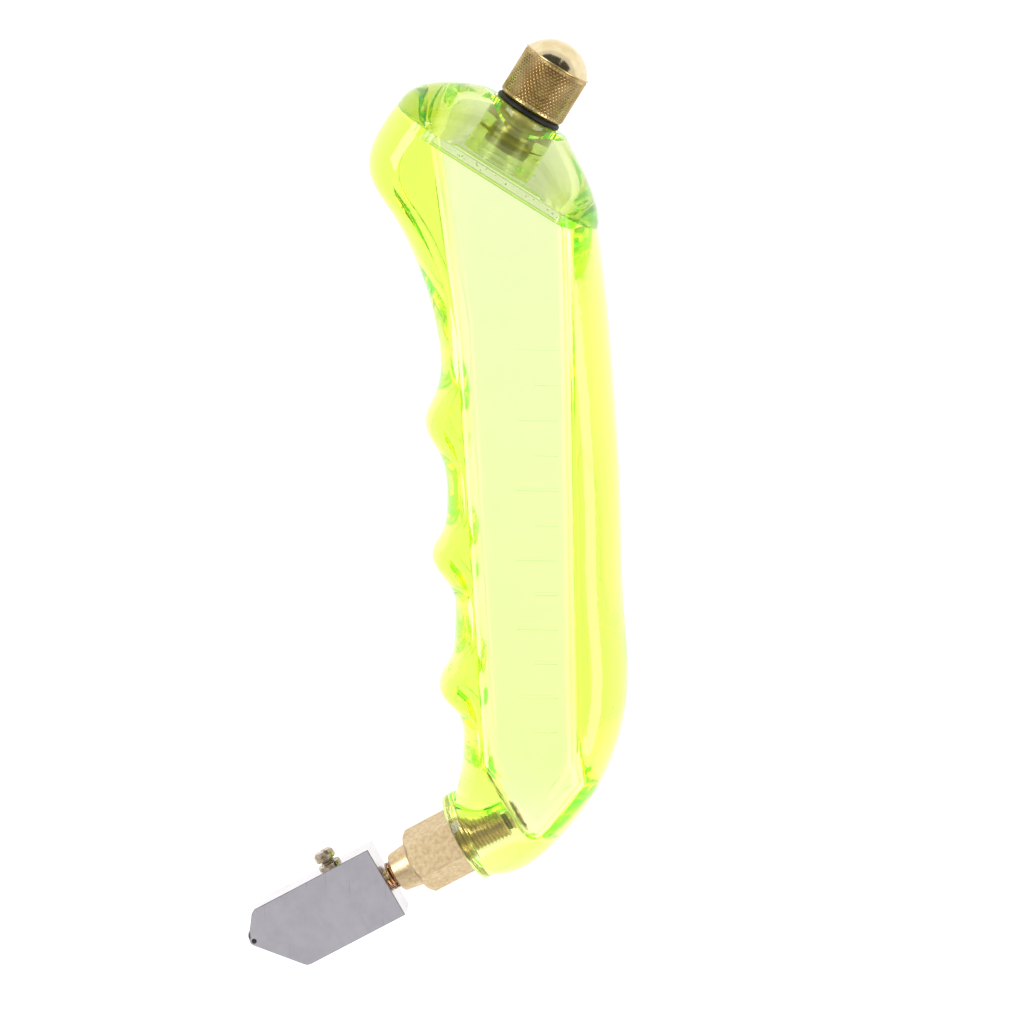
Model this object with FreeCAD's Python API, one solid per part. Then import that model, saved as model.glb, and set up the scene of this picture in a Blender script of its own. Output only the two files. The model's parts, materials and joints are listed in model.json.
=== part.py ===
"""Pistol-grip, oil-fed glass cutter, lying on the flat side of its handle.

Millimetres.  +Z is up, +Y runs from the wheel end of the handle to the filler cap, and +X points to
the back of the grip.  The origin is on the flat side that the tool rests on.

Two local frames do most of the work.  In the stem frame, local Z runs from the handle's collar out to
the cutting wheel; in the cap frame, local Z runs from the glued joint up through the filler cap.
"""
import math
import os

import FreeCAD
import Part

# ---- whole tool -------------------------------------------------------------------------------------
THICKNESS = 22.0            # between the two flat sides of the handle
MID_Z = THICKNESS / 2.0     # every turned part is centred here
TRIM = 0.15                 # the round edges stand this far past the flats, which leaves a crisp crease
FAR = 150.0                 # beyond the whole tool, for cutting blocks
PAST = 1.0                  # how far a cutter runs past the face it opens

# ---- stem frame: socket, connector, plunger and head -------------------------------------------------
STEM_ORIGIN = (-9.99, -60.38)   # centre of the collar's front face
STEM_ANGLE = 29.5                # slope of the stem axis above +X
COLLAR_RADIUS = 8.15
COLLAR_LENGTH = 1.7
COLLAR_ROOT = 0.6                # overlap of the collar with the handle
COLLAR_ROUND = 0.35
SOCKET_DEPTH = 10.8              # collar face to the reservoir floor

# ---- cap frame: glued joint, cover, neck and filler cap ----------------------------------------------
CAP_FOOT = (-4.5, 57.8)          # where the cap axis meets the glued joint
CAP_ANGLE = 58.2                 # slope of the cap axis above +X
JOINT_FRONT = -19.3              # front and back ends of the joint, from the cap axis
JOINT_BACK = 20.4

# ---- handle outline, from the joint down to the collar -----------------------------------------------
FRONT_LINE = [
    (-23.8, 64.0), (-25.6, 60.0), (-25.8, 57.0), (-24.6, 53.6), (-21.8, 49.6), (-19.1, 44.4),
    (-16.5, 38.0), (-14.6, 31.0), (-13.8, 24.6),
    (-14.5, 19.6), (-16.5, 13.7), (-14.1, 8.9), (-12.8, 0.4),
    (-13.4, -4.4), (-15.4, -9.6), (-12.5, -13.9), (-11.5, -22.0),
    (-12.2, -27.2), (-14.3, -32.3), (-11.4, -36.1), (-10.1, -43.2),
    (-10.7, -48.3),
]
BACK_LINE = [
    (14.3, 36.0), (15.8, 19.0), (17.0, 0.0), (17.6, -18.0), (18.4, -31.0),
    (17.7, -38.4), (13.9, -49.5), (5.7, -60.8), (0.4, -65.2),
]
GRIP_TOP_Y = 24.0           # level sections between these heights, tilted ones above and below
GRIP_BOTTOM_Y = -36.0
UPPER_STEPS = 11
GRIP_STEPS = 20
LOWER_STEPS = 11
LINE_REACH = 90.0           # half length of the lines that place the tilted sections
EDGE_STEPS = 12             # points round an edge
EDGE_FULLNESS = 2.25        # exponent of the rounded edges: 2 is an ellipse, more is squarer
FRONT_EDGE = 5.0            # width of the rounded front edge at the grips, and of the back edge
BACK_EDGE = 8.0
END_EDGE = 6.3              # width of both edges at the collar
END_FRONT = 7.0             # reach of the last section either side of the stem axis
END_BACK = 8.0
END_HALF = 7.6              # half thickness of the last section
TAPER_START = 0.4           # share of the lower sections before they thin towards the collar

# ---- oil reservoir -----------------------------------------------------------------------------------
CORE_LEVELS = [(80.0, -17.2, 7.4, 8.9), (29.4, -10.6, 8.9, 8.1), (-66.0, -4.9, 10.7, 6.6)]
CORE_CORNER = 2.2
FLOOR_POINT = (10.5, -47.8)      # sloping floor of the reservoir, parallel to the heel
FLOOR_ANGLE = 54.0
FLOOR_FILLET = 1.8

# ---- top cover ---------------------------------------------------------------------------------------
DOME_HEIGHT = 10.0
DOME_HOLLOW = 8.0
DOME_STEPS = 9
DOME_EDGE_TOP = 0.44             # width of each rounded edge at the top, as a share of the section
DOME_FRONT_EASE = (0.55, 2.3)    # share lost by the top, and the power it is lost with
DOME_BACK_EASE = (0.62, 1.45)
DOME_HALF_EASE = (0.58, 2.4)
HOLLOW_FOOT = (-12.6, 15.2, 8.5)     # front, back and half width of the hollow at the joint
HOLLOW_STEPS = 5
HOLLOW_EDGES = (0.2, 0.4)
HOLLOW_FRONT_EASE = (0.45, 4.0)
HOLLOW_BACK_EASE = (0.55, 1.8)
HOLLOW_HALF_EASE = (0.5, 2.4)
NECK_RADIUS = 6.6
NECK_ROUND = 0.3
NECK_FOOT = 5.0
NECK_TUBE_RADIUS = 6.3
NECK_TUBE = (0.6, 9.0)           # heights of the sleeve that reaches down into the hollow
NECK_TOP = 10.1
NECK_BORE = 4.1
MOUTH = (-12.65, 15.15, 8.65)    # mouth of the reservoir: front, back and half width
TONGUE_DEPTH = 1.35
TONGUE_ROOT = 0.2                # overlap of the tongue with the cover
TONGUE_REACH = (0.05, 1.1)       # inner and outer faces of the tongue, from the mouth
REBATE_DEPTH = 1.84
BOND_GAP = 0.04
BOND_INSET = 0.1                 # the bond's inner face, from the tongue's

# ---- filler cap --------------------------------------------------------------------------------------
CAP_RADIUS = 6.0
CAP_BOTTOM = 11.05
CAP_SHOULDER = 20.0
CAP_APEX = 23.6
CAP_DOME_RADIUS = 5.75
DOME_ROOT = 0.05                 # overlap of the polished dome with the barrel
CAP_CHAMFER = 0.5
CAP_RIM = 0.2
CAP_THREAD_RADIUS = 4.0
CAP_THREAD_DEPTH = 0.65
CAP_THREAD_END = 2.6
CAP_PITCH = 1.25
O_RING_INNER = 4.5
O_RING_OUTER = 5.92
O_RING_GAP = 0.01
O_RING_ROUND = 0.85              # roundness of its section, as a share of half its height

# ---- connector ---------------------------------------------------------------------------------------
HEX_ACROSS_FLATS = 10.5
HEX_LENGTH = 9.7
HEX_TURN = 14.8
HEX_CORNER_TRIM = 0.05           # turned off the corners all along
HEX_INNER_CHAMFER = (0.55, 0.3)      # depth and length, beside the collar
HEX_OUTER_CHAMFER = (0.85, 0.7)      # depth and length, beside the nose
NOSE_FILLET = (0.35, 0.5)            # width and height of the slope at the nose's root
NOSE_ROOT_RADIUS = 4.0
NOSE_TIP_RADIUS = 3.38
NOSE_CHAMFER = 0.15
NOSE_END = 13.7
CONNECTOR_THREAD_RADIUS = 4.0
CONNECTOR_THREAD_LENGTH = 9.2
CONNECTOR_PITCH = 0.75
CONNECTOR_THREAD_DEPTH = 0.45
SOCKET_RADIUS = 4.06
SOCKET_BREAKTHROUGH = 3.0        # the socket's bore runs on into the reservoir
GUIDE_BORE = 1.6
SPRING_BORE = 2.75
SPRING_SEAT = 7.4

# ---- plunger -----------------------------------------------------------------------------------------
STEM_RADIUS = 1.55
OIL_BORE = 0.7
STEM_INNER_END = -12.1
STEM_OUTER_END = 24.2
OIL_BORE_END = -9.5
CROSS_HOLE = (-8.6, 0.5)        # place along the stem and radius
VALVE_RING_SECTION = 0.45
VALVE_RING_GAP = 0.02
VALVE_DISC = (2.8, 0.9)          # radius and thickness
VALVE_DISC_GAP = 0.03
CLIP_GROOVE = (1.2, 0.5)         # radius at its bottom and width
CLIP_RADIUS = 2.5
CLIP_GAP = (0.03, 0.04)          # round the groove's bottom, and beside its walls
CLIP_MOUTH = 0.95                # half width of the clip's opening
SPRING_WIRE = 0.25
SPRING_COIL_RADIUS = 2.25
SPRING_PITCH = 0.66
SPRING_GAP = 0.03

# ---- cutting head ------------------------------------------------------------------------------------
HEAD_START = 15.6
HEAD_HALF_WIDTH = 6.7
HEAD_THICKNESS = 6.2
HEAD_CHAMFER = 0.12
STEM_SOCKET_END = 24.6
STEM_SOCKET_GAP = 0.05
SHOULDER = 23.2                  # where the screw side ends, from the head's end face
SHOULDER_CHAMFER = (0.5, 0.8)
NOSE_FLANK = (1.9, 0.15)         # start of the nose on the screw side, across and back from the pin
NOSE_POINTS = [(-0.85, 0.28), (-0.45, 0.72), (0.15, 0.8), (0.62, 0.55)]   # round the pin: across, along
CHEEK_POINTS = [(0.5, 20.4), (0.1, 19.9), (0.0, 19.3)]      # in from the far side, and along
WHEEL_PIN = (26.1, -1.7)         # from the head's end face, and across from the stem axis
WHEEL_RADIUS = 1.55
WHEEL_THICKNESS = 0.9
WHEEL_BORE = 0.5
WHEEL_BEVEL = 0.2
PIN_RADIUS = 0.45
PIN_FIT = 0.01
PIN_SINK = 0.02
PIN_CHAMFER = 0.06
SLOT_WIDTH = 1.1
SLOT_REACH = (1.6, 1.2)          # past the wheel's edge, across the head
SLOT_CLEARANCE = 0.35            # past the wheel's edge, along the head
SLOT_LENGTH = 9.0
OIL_DRILL = 0.6
OIL_DRILL_END = 1.2              # from the pin
WICK_FIT = 0.1
WICK_START = 0.4                 # from the end of the stem's socket
WICK_END = 0.5                   # from the wheel's edge

# ---- lock screw --------------------------------------------------------------------------------------
SCREW_PLACE = 8.0                # from the head's end face
SCREW_RADIUS = 1.25
SCREW_PITCH = 0.45
SCREW_HEAD_RADIUS = 1.85
SCREW_HEAD_HEIGHT = 1.6
SCREW_STAND_OFF = 1.4            # head's narrow side to the underside of the screw's head
SCREW_TIP_RADIUS = 0.75
SCREW_TIP_GAP = 0.12
SCREW_THREAD_DEPTH = 0.28
SCREW_THREAD_END = 0.5           # from the stem
SCREW_FIT = 0.03
SCREW_ROUNDS = (0.15, 0.4, 0.45)     # chamfer under the head, and width and height of the one on top
SCREW_SLOT = (0.3, 0.75)         # half width and depth
TAPPED_DEPTH = 3.0               # how far the tapped hole's tool runs past the screw side
LOCK_WASHER = (1.35, 2.05, 0.6)  # inner radius, outer radius, thickness
WASHER_GAP = (0.15, 200.0)       # half width of its split, and where the split is
WASHER_LIFT = 0.01               # clearance over the head
SCREW_SLOT_TURN = 35.0
SLOT_FLOOR = 1.05                # radius at the bottom of the stem's swivel slot
SWIVEL_LIMIT = 15.0
SWIVEL_SPARE = 2.0
SLOT_SIDE_GAP = 0.1

# ---- level scale -------------------------------------------------------------------------------------
SCALE_TOP_Y = 28.0
SCALE_PITCH = 6.0
SCALE_TICKS = 12
SCALE_X = 7.0
SCALE_LONG = 7.0
SCALE_SHORT = 4.0
SCALE_WIDTH = 0.5
SCALE_DEPTH = 0.25

V = FreeCAD.Vector


def frame_at(place, angle, x_turn):
    """Local frame at mid-thickness whose Z has this slope in the plan, and whose X lies in the plan."""
    z_axis = V(math.cos(math.radians(angle)), math.sin(math.radians(angle)), 0)
    x_axis = V(math.cos(math.radians(angle + x_turn)), math.sin(math.radians(angle + x_turn)), 0)
    rotation = FreeCAD.Rotation(x_axis, z_axis.cross(x_axis), z_axis, "ZXY")
    return FreeCAD.Placement(V(place[0], place[1], MID_Z), rotation)


STEM = frame_at(STEM_ORIGIN, STEM_ANGLE + 180.0, 90.0)
CAP = frame_at(CAP_FOOT, CAP_ANGLE, -90.0)


def placed(shape, frame):
    """Copy of a local shape, put in its frame."""
    copy = shape.copy()
    copy.Placement = frame.multiply(copy.Placement)
    return copy


def turned(profile):
    """Solid of revolution about local Z, from (radius, height) corners."""
    corners = [V(radius, 0, height) for radius, height in profile]
    face = Part.Face(Part.makePolygon(corners + corners[:1]))
    return face.revolve(V(0, 0, 0), V(0, 0, 1), 360)


def rod(radius, low, high):
    """Cylinder on local Z between two heights."""
    return Part.makeCylinder(radius, high - low, V(0, 0, low))


def ring(inner, outer, low, high):
    """Washer or sleeve on local Z."""
    return rod(outer, low, high).cut(rod(inner, low - PAST, high + PAST))


def block(x_range, y_range, z_range):
    """Box between pairs of local coordinates."""
    size = [pair[1] - pair[0] for pair in (x_range, y_range, z_range)]
    return Part.makeBox(*size, V(x_range[0], y_range[0], z_range[0]))


def prism(outline, low, high):
    """Extrusion of a closed outline of local (x, z) corners, along local Y."""
    corners = [V(x, low, z) for x, z in outline]
    face = Part.Face(Part.makePolygon(corners + corners[:1]))
    return face.extrude(V(0, high - low, 0))


def ridges(crest, root, low, high, pitch):
    """Thread stand-in: a rod with parallel V ridges."""
    ridge = [(root, 0.12), (crest, 0.44), (crest, 0.56), (root, 0.88)]
    profile = [(0, low), (root, low)]
    for turn in range(int((high - low) / pitch)):
        profile += [(radius, low + (turn + share) * pitch) for radius, share in ridge]
    profile.append((root, high))
    profile.append((0, high))
    return turned(profile)


def rounded_end(start, tip, half):
    """Full rounded edge of a section: from the top corner, out to the tip and back to the bottom."""
    reach = tip - start
    points = []
    for step in range(EDGE_STEPS + 1):
        angle = math.pi * step / EDGE_STEPS
        across = abs(math.sin(angle)) ** (2.0 / EDGE_FULLNESS)
        height = math.copysign(abs(math.cos(angle)) ** (2.0 / EDGE_FULLNESS), math.cos(angle))
        points.append(start + reach * across + V(0, 0, half * height))
    curve = Part.BSplineCurve()
    curve.interpolate(Points=points, InitialTangent=reach, FinalTangent=reach * -1.0)
    return curve.toShape()


def section(front, back, half, front_edge, back_edge):
    """Closed section of the handle: two flats joined by a rounded front and a rounded back."""
    along = (back - front).normalize()
    front_start = front + along * front_edge
    back_start = back - along * back_edge
    up = V(0, 0, half)
    top = Part.LineSegment(front_start + up, back_start + up).toShape()
    bottom = Part.LineSegment(back_start - up, front_start - up).toShape()
    back_round = rounded_end(back_start, back, half)
    front_round = rounded_end(front_start, front, half)
    return Part.Wire(Part.__sortEdges__([top, back_round, bottom, front_round]))


def mix(first, second, share):
    """Value between two others."""
    return first + (second - first) * share


def ease(share):
    """Smooth start and stop between 0 and 1."""
    return share * share * (3.0 - 2.0 * share)


def outline_curve(points):
    """Smooth curve through plan points at mid-thickness."""
    curve = Part.BSplineCurve()
    curve.interpolate([V(x, y, MID_Z) for x, y in points])
    return curve.toShape()


def crossing(curve, origin, direction):
    """Where a long straight line meets an outline curve."""
    line = Part.makeLine(origin - direction * LINE_REACH, origin + direction * LINE_REACH)
    return curve.distToShape(line)[1][0][0]


def collar_ends():
    """Front and back ends of the handle's last section, at the collar's back face."""
    return STEM.multVec(V(-END_FRONT, 0, -COLLAR_LENGTH)), STEM.multVec(V(END_BACK, 0, -COLLAR_LENGTH))


def joint_ends():
    """Front and back ends of the glued joint."""
    return CAP.multVec(V(JOINT_FRONT, 0, 0)), CAP.multVec(V(JOINT_BACK, 0, 0))


def fan_pivot(point, direction, level):
    """Plan point where a section's line reaches a level: the sections between them turn about it."""
    return point + direction * ((level - point.y) / direction.y)


def fan(pivot, full_angle, share):
    """Direction of a fanned section line."""
    angle = math.radians(full_angle * share)
    return V(math.cos(angle), math.sin(angle), 0)


def handle_sections():
    """Every section of the handle's outside, from the glued joint to the collar."""
    joint_front, joint_back = joint_ends()
    end_front, end_back = collar_ends()
    front = outline_curve([joint_front[:2]] + FRONT_LINE + [end_front[:2]])
    back = outline_curve([joint_back[:2]] + BACK_LINE + [end_back[:2]])
    half = MID_Z + TRIM

    joint_direction = (joint_back - joint_front).normalize()
    upper = fan_pivot(joint_front, joint_direction, GRIP_TOP_Y)
    end_direction = (end_back - end_front).normalize()
    lower = fan_pivot(end_front, end_direction, GRIP_BOTTOM_Y)

    wires = [section(joint_front, joint_back, half, BACK_EDGE, BACK_EDGE)]
    for step in range(1, UPPER_STEPS):
        share = 1.0 - step / UPPER_STEPS
        direction = fan(upper, CAP_ANGLE - 90.0, share)
        ends = [crossing(curve, upper, direction) for curve in (front, back)]
        wires.append(section(*ends, half, mix(FRONT_EDGE, BACK_EDGE, share), BACK_EDGE))
    for step in range(GRIP_STEPS + 1):
        level = V(0, mix(GRIP_TOP_Y, GRIP_BOTTOM_Y, step / GRIP_STEPS), MID_Z)
        ends = [crossing(curve, level, V(1, 0, 0)) for curve in (front, back)]
        wires.append(section(*ends, half, FRONT_EDGE, BACK_EDGE))
    for step in range(1, LOWER_STEPS):
        share = step / LOWER_STEPS
        direction = fan(lower, STEM_ANGLE - 90.0, share)
        ends = [crossing(curve, lower, direction) for curve in (front, back)]
        taper = ease(max(0.0, share - TAPER_START) / (1.0 - TAPER_START))
        edges = [mix(FRONT_EDGE, END_EDGE, taper), mix(BACK_EDGE, END_EDGE, taper)]
        wires.append(section(*ends, mix(half, END_HALF, taper), *edges))
    wires.append(section(end_front, end_back, END_HALF, END_EDGE, END_EDGE))
    return wires


def flat_slab():
    """Everything between the two flat sides."""
    return block((-FAR, FAR), (-FAR, FAR), (0, THICKNESS))


def rounded_rectangle(x_range, half, corner, y):
    """Level rectangle with round corners, about mid-thickness."""
    low = MID_Z - half
    high = MID_Z + half
    corners = [V(x_range[0], y, low), V(x_range[1], y, low), V(x_range[1], y, high), V(x_range[0], y, high)]
    edges = []
    for index, corner_point in enumerate(corners):
        before = (corners[index - 1] - corner_point).normalize()
        after = (corners[(index + 1) % 4] - corner_point).normalize()
        start = corner_point + before * corner
        end = corner_point + after * corner
        middle = corner_point + (before + after) * (corner * (1.0 - math.sqrt(0.5)))
        edges.append(Part.Arc(start, middle, end).toShape())
        next_start = corners[(index + 1) % 4] - after * corner
        edges.append(Part.LineSegment(end, next_start).toShape())
    return Part.Wire(edges)


def reservoir_core():
    """Drafted core that shapes the oil reservoir, drawn out through the top."""
    wires = [rounded_rectangle((x0, x1), half, CORE_CORNER, y) for y, x0, x1, half in CORE_LEVELS]
    core = Part.makeLoft(wires, True, True)
    socket_side = placed(block((-FAR, FAR), (-FAR, FAR), (-SOCKET_DEPTH, FAR)), STEM)
    floor_frame = frame_at(FLOOR_POINT, FLOOR_ANGLE - 90.0, 90.0)
    heel_side = placed(block((-FAR, FAR), (-FAR, FAR), (0, FAR)), floor_frame)
    return core.cut(socket_side).cut(heel_side)


def with_floor_fillet(core):
    """Core with its lower edges rounded."""
    low_edges = []
    for edge in core.Edges:
        highest = max(vertex.Point.y for vertex in edge.Vertexes)
        if highest < GRIP_BOTTOM_Y:
            low_edges.append(edge)
    return core.makeFillet(FLOOR_FILLET, low_edges)


def mouth_block(reach, low, high):
    """Round-cornered block over the mouth of the reservoir, in the cap frame's coordinates."""
    front, back, half = MOUTH
    outer = block((front - reach, back + reach), (-half - reach, half + reach), (low, high))
    uprights = [edge for edge in outer.Edges if abs(edge.tangentAt(edge.FirstParameter).z) > 0.99]
    return outer.makeFillet(CORE_CORNER + reach, uprights)


def mouth_frame(inner_reach, outer_reach, low, high):
    """Frame round the mouth of the reservoir, between two heights."""
    inner = mouth_block(inner_reach, low - PAST, high + PAST)
    return placed(mouth_block(outer_reach, low, high).cut(inner), CAP)


def level_scale():
    """Engraved ticks on the upper flat, long and short in turn."""
    ticks = []
    for index in range(SCALE_TICKS):
        length = SCALE_LONG if index % 2 == 0 else SCALE_SHORT
        y = SCALE_TOP_Y - index * SCALE_PITCH
        x_range = (SCALE_X - length, SCALE_X)
        y_range = (y - SCALE_WIDTH / 2, y + SCALE_WIDTH / 2)
        ticks.append(block(x_range, y_range, (THICKNESS - SCALE_DEPTH, THICKNESS + PAST)))
    return Part.makeCompound(ticks)


def make_handle_body():
    """Moulded grip: solid beak and finger grips, open reservoir, and the threaded socket."""
    outside = Part.makeLoft(handle_sections(), True, False).common(flat_slab())
    collar = rod(COLLAR_RADIUS, -COLLAR_LENGTH - COLLAR_ROOT, 0)
    rims = [edge for edge in collar.Edges if edge.Closed]
    collar = collar.makeFillet(COLLAR_ROUND, rims)
    body = outside.fuse(placed(collar, STEM))
    body = body.cut(with_floor_fillet(reservoir_core()))
    body = body.cut(placed(mouth_block(TONGUE_REACH[1] + BOND_GAP, -REBATE_DEPTH, PAST), CAP))
    body = body.cut(placed(rod(SOCKET_RADIUS, -SOCKET_DEPTH - SOCKET_BREAKTHROUGH, PAST), STEM))
    return body.cut(level_scale()).removeSplitter()


def dome_section(height, front, back, half, edge_share):
    """Section of the cover at a height above the joint."""
    width = back - front
    front_point = CAP.multVec(V(front, 0, height))
    back_point = CAP.multVec(V(back, 0, height))
    return section(front_point, back_point, half, width * edge_share, width * edge_share)


def eased_in(size, rise, easing):
    """Size of the cover at a share of its height."""
    lost, power = easing
    return size * (1.0 - lost * rise ** power)


def dome_outside():
    """Outside of the cover: full width at the joint, easing in to the neck."""
    wires = []
    joint_edge = BACK_EDGE / (JOINT_BACK - JOINT_FRONT)
    for step in range(DOME_STEPS + 1):
        rise = math.sin(0.5 * math.pi * step / DOME_STEPS)
        front = eased_in(JOINT_FRONT, rise, DOME_FRONT_EASE)
        back = eased_in(JOINT_BACK, rise, DOME_BACK_EASE)
        half = eased_in(MID_Z + TRIM, rise, DOME_HALF_EASE)
        edge_share = mix(joint_edge, DOME_EDGE_TOP, rise)
        wires.append(dome_section(DOME_HEIGHT * rise, front, back, half, edge_share))
    return Part.makeLoft(wires, True, False)


def dome_inside():
    """Hollow of the cover."""
    wires = []
    for step in range(HOLLOW_STEPS + 1):
        rise = step / HOLLOW_STEPS
        front = eased_in(HOLLOW_FOOT[0], rise, HOLLOW_FRONT_EASE)
        back = eased_in(HOLLOW_FOOT[1], rise, HOLLOW_BACK_EASE)
        half = eased_in(HOLLOW_FOOT[2], rise, HOLLOW_HALF_EASE)
        wires.append(dome_section(DOME_HOLLOW * rise, front, back, half, mix(*HOLLOW_EDGES, rise)))
    return Part.makeLoft(wires, True, False)


def make_top_cover():
    """Domed cover with the filler neck, and a tongue that keys into the handle."""
    neck = rod(NECK_RADIUS, NECK_FOOT, NECK_TOP)
    rim = [edge for edge in neck.Edges if edge.Closed and edge.BoundBox.ZMin > NECK_FOOT]
    neck = neck.makeFillet(NECK_ROUND, rim)
    cover = dome_outside().common(flat_slab()).fuse(placed(neck, CAP))
    cover = cover.cut(dome_inside())
    tongue = mouth_frame(*TONGUE_REACH, -TONGUE_DEPTH, TONGUE_ROOT)
    tube = placed(rod(NECK_TUBE_RADIUS, *NECK_TUBE), CAP)
    bore = placed(rod(NECK_BORE, -PAST, NECK_TOP + PAST), CAP)
    return cover.fuse(tongue).fuse(tube).cut(bore).removeSplitter()


def make_seam_bond():
    """Cured cement between the end of the cover's tongue and the step in the handle."""
    inner_reach, outer_reach = TONGUE_REACH
    levels = (-REBATE_DEPTH + BOND_GAP, -TONGUE_DEPTH - BOND_GAP)
    return mouth_frame(inner_reach + BOND_INSET, outer_reach, *levels)


def make_filler_cap():
    """Brass cap: gripped barrel, polished dome and threaded shank."""
    barrel = turned([
        (0, CAP_BOTTOM), (CAP_RADIUS - CAP_CHAMFER, CAP_BOTTOM), (CAP_RADIUS, CAP_BOTTOM + CAP_CHAMFER),
        (CAP_RADIUS, CAP_SHOULDER - CAP_RIM), (CAP_RADIUS - CAP_RIM, CAP_SHOULDER), (0, CAP_SHOULDER),
    ])
    rise = CAP_APEX - CAP_SHOULDER
    ball_radius = (CAP_DOME_RADIUS ** 2 + rise ** 2) / (2.0 * rise)
    ball = Part.makeSphere(ball_radius, V(0, 0, CAP_APEX - ball_radius))
    dome = ball.common(rod(CAP_DOME_RADIUS, CAP_SHOULDER - DOME_ROOT, CAP_APEX + PAST))
    root = CAP_THREAD_RADIUS - CAP_THREAD_DEPTH
    shank = ridges(CAP_THREAD_RADIUS, root, CAP_THREAD_END, CAP_BOTTOM, CAP_PITCH)
    return placed(barrel.fuse(dome).fuse(shank).removeSplitter(), CAP)


def make_filler_cap_o_ring():
    """Rubber ring nipped between the neck and the cap."""
    middle = (CAP_BOTTOM + NECK_TOP) / 2.0
    half = (CAP_BOTTOM - NECK_TOP) / 2.0 - O_RING_GAP
    flat = ring(O_RING_INNER, O_RING_OUTER, middle - half, middle + half)
    rims = [edge for edge in flat.Edges if edge.Closed]
    return placed(flat.makeFillet(half * O_RING_ROUND, rims), CAP)


def hexagon_bar():
    """Hexagon bar with turned-off corners."""
    corner_radius = HEX_ACROSS_FLATS / math.sqrt(3.0)
    corners = []
    for index in range(6):
        angle = math.radians(60.0 * index + HEX_TURN)
        corners.append(V(corner_radius * math.cos(angle), corner_radius * math.sin(angle), 0))
    bar = Part.Face(Part.makePolygon(corners + corners[:1])).extrude(V(0, 0, HEX_LENGTH))
    inner_depth, inner_length = HEX_INNER_CHAMFER
    outer_depth, outer_length = HEX_OUTER_CHAMFER
    reach = corner_radius - HEX_CORNER_TRIM
    barrel = turned([
        (0, 0), (corner_radius - inner_depth, 0), (reach, inner_length), (reach, HEX_LENGTH - outer_length),
        (corner_radius - outer_depth, HEX_LENGTH), (0, HEX_LENGTH),
    ])
    return bar.common(barrel)


def make_connector():
    """Brass connector: thread for the socket, hexagon, tapered nose, guide bore and spring bore."""
    width, height = NOSE_FILLET
    foot = HEX_LENGTH - NOSE_CHAMFER
    nose = turned([
        (0, foot), (NOSE_ROOT_RADIUS + width, foot), (NOSE_ROOT_RADIUS, HEX_LENGTH + height),
        (NOSE_TIP_RADIUS + NOSE_CHAMFER, NOSE_END - NOSE_CHAMFER), (NOSE_TIP_RADIUS, NOSE_END), (0, NOSE_END),
    ])
    root = CONNECTOR_THREAD_RADIUS - CONNECTOR_THREAD_DEPTH
    thread = ridges(CONNECTOR_THREAD_RADIUS, root, -CONNECTOR_THREAD_LENGTH, 0.0, CONNECTOR_PITCH)
    body = hexagon_bar().fuse(nose).fuse(thread)
    body = body.cut(rod(GUIDE_BORE, -FAR, FAR)).cut(rod(SPRING_BORE, SPRING_SEAT, FAR))
    return placed(body.removeSplitter(), STEM)


def make_plunger_stem():
    """Hollow stem that slides in the connector and carries the head."""
    stem = rod(STEM_RADIUS, STEM_INNER_END, STEM_OUTER_END)
    stem = stem.cut(rod(OIL_BORE, OIL_BORE_END, STEM_OUTER_END + PAST))
    place, radius = CROSS_HOLE
    half_drill = STEM_RADIUS + PAST
    stem = stem.cut(Part.makeCylinder(radius, 2.0 * half_drill, V(-half_drill, 0, place), V(1, 0, 0)))
    floor, width = CLIP_GROOVE
    groove = ring(floor, STEM_RADIUS + PAST, clip_place(), clip_place() + width)
    return placed(stem.cut(groove).cut(swivel_slot()), STEM)


def clip_place():
    """Where the retaining clip sits: behind the valve disc."""
    return -CONNECTOR_THREAD_LENGTH - 2.0 * VALVE_RING_SECTION - VALVE_DISC[1] - CLIP_GROOVE[1]


def swivel_slot():
    """Arc-shaped slot in the stem that the lock screw's tip runs in."""
    place = HEAD_START + SCREW_PLACE
    half_width = SCREW_TIP_RADIUS + SLOT_SIDE_GAP
    half_angle = math.degrees(math.asin(SCREW_TIP_RADIUS / SLOT_FLOOR)) + SWIVEL_LIMIT + SWIVEL_SPARE
    band = ring(SLOT_FLOOR, STEM_RADIUS + PAST, place - half_width, place + half_width)
    reach = 2.0 * (STEM_RADIUS + PAST)
    spread = [math.radians(180.0 + sign * half_angle) for sign in (-1, 1)]
    rays = [V(reach * math.cos(angle), reach * math.sin(angle), 0) for angle in spread]
    wedge = Part.Face(Part.makePolygon([V(0, 0, 0)] + rays + [V(0, 0, 0)]))
    wedge = wedge.extrude(V(0, 0, 4.0 * half_width)).translated(V(0, 0, place - 2.0 * half_width))
    return band.common(wedge)


def make_valve_o_ring():
    """Rubber ring that seals the stem against the connector's inner end."""
    middle = -CONNECTOR_THREAD_LENGTH - VALVE_RING_SECTION
    centre_radius = STEM_RADIUS + VALVE_RING_SECTION + VALVE_RING_GAP
    torus = Part.makeTorus(centre_radius, VALVE_RING_SECTION - VALVE_RING_GAP, V(0, 0, middle))
    return placed(torus, STEM)


def make_valve_disc():
    """Disc that presses the ring against the connector."""
    radius, thickness = VALVE_DISC
    top = -CONNECTOR_THREAD_LENGTH - 2.0 * VALVE_RING_SECTION
    return placed(ring(STEM_RADIUS + VALVE_DISC_GAP, radius, top - thickness, top), STEM)


def make_valve_clip():
    """Open spring clip in the stem's groove, holding the disc."""
    floor, width = CLIP_GROOVE
    floor_gap, side_gap = CLIP_GAP
    low = clip_place() + side_gap
    clip = ring(floor + floor_gap, CLIP_RADIUS, low, clip_place() + width - side_gap)
    mouth = block((0, CLIP_RADIUS + PAST), (-CLIP_MOUTH, CLIP_MOUTH), (low - PAST, low + PAST))
    return placed(clip.cut(mouth), STEM)


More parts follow.
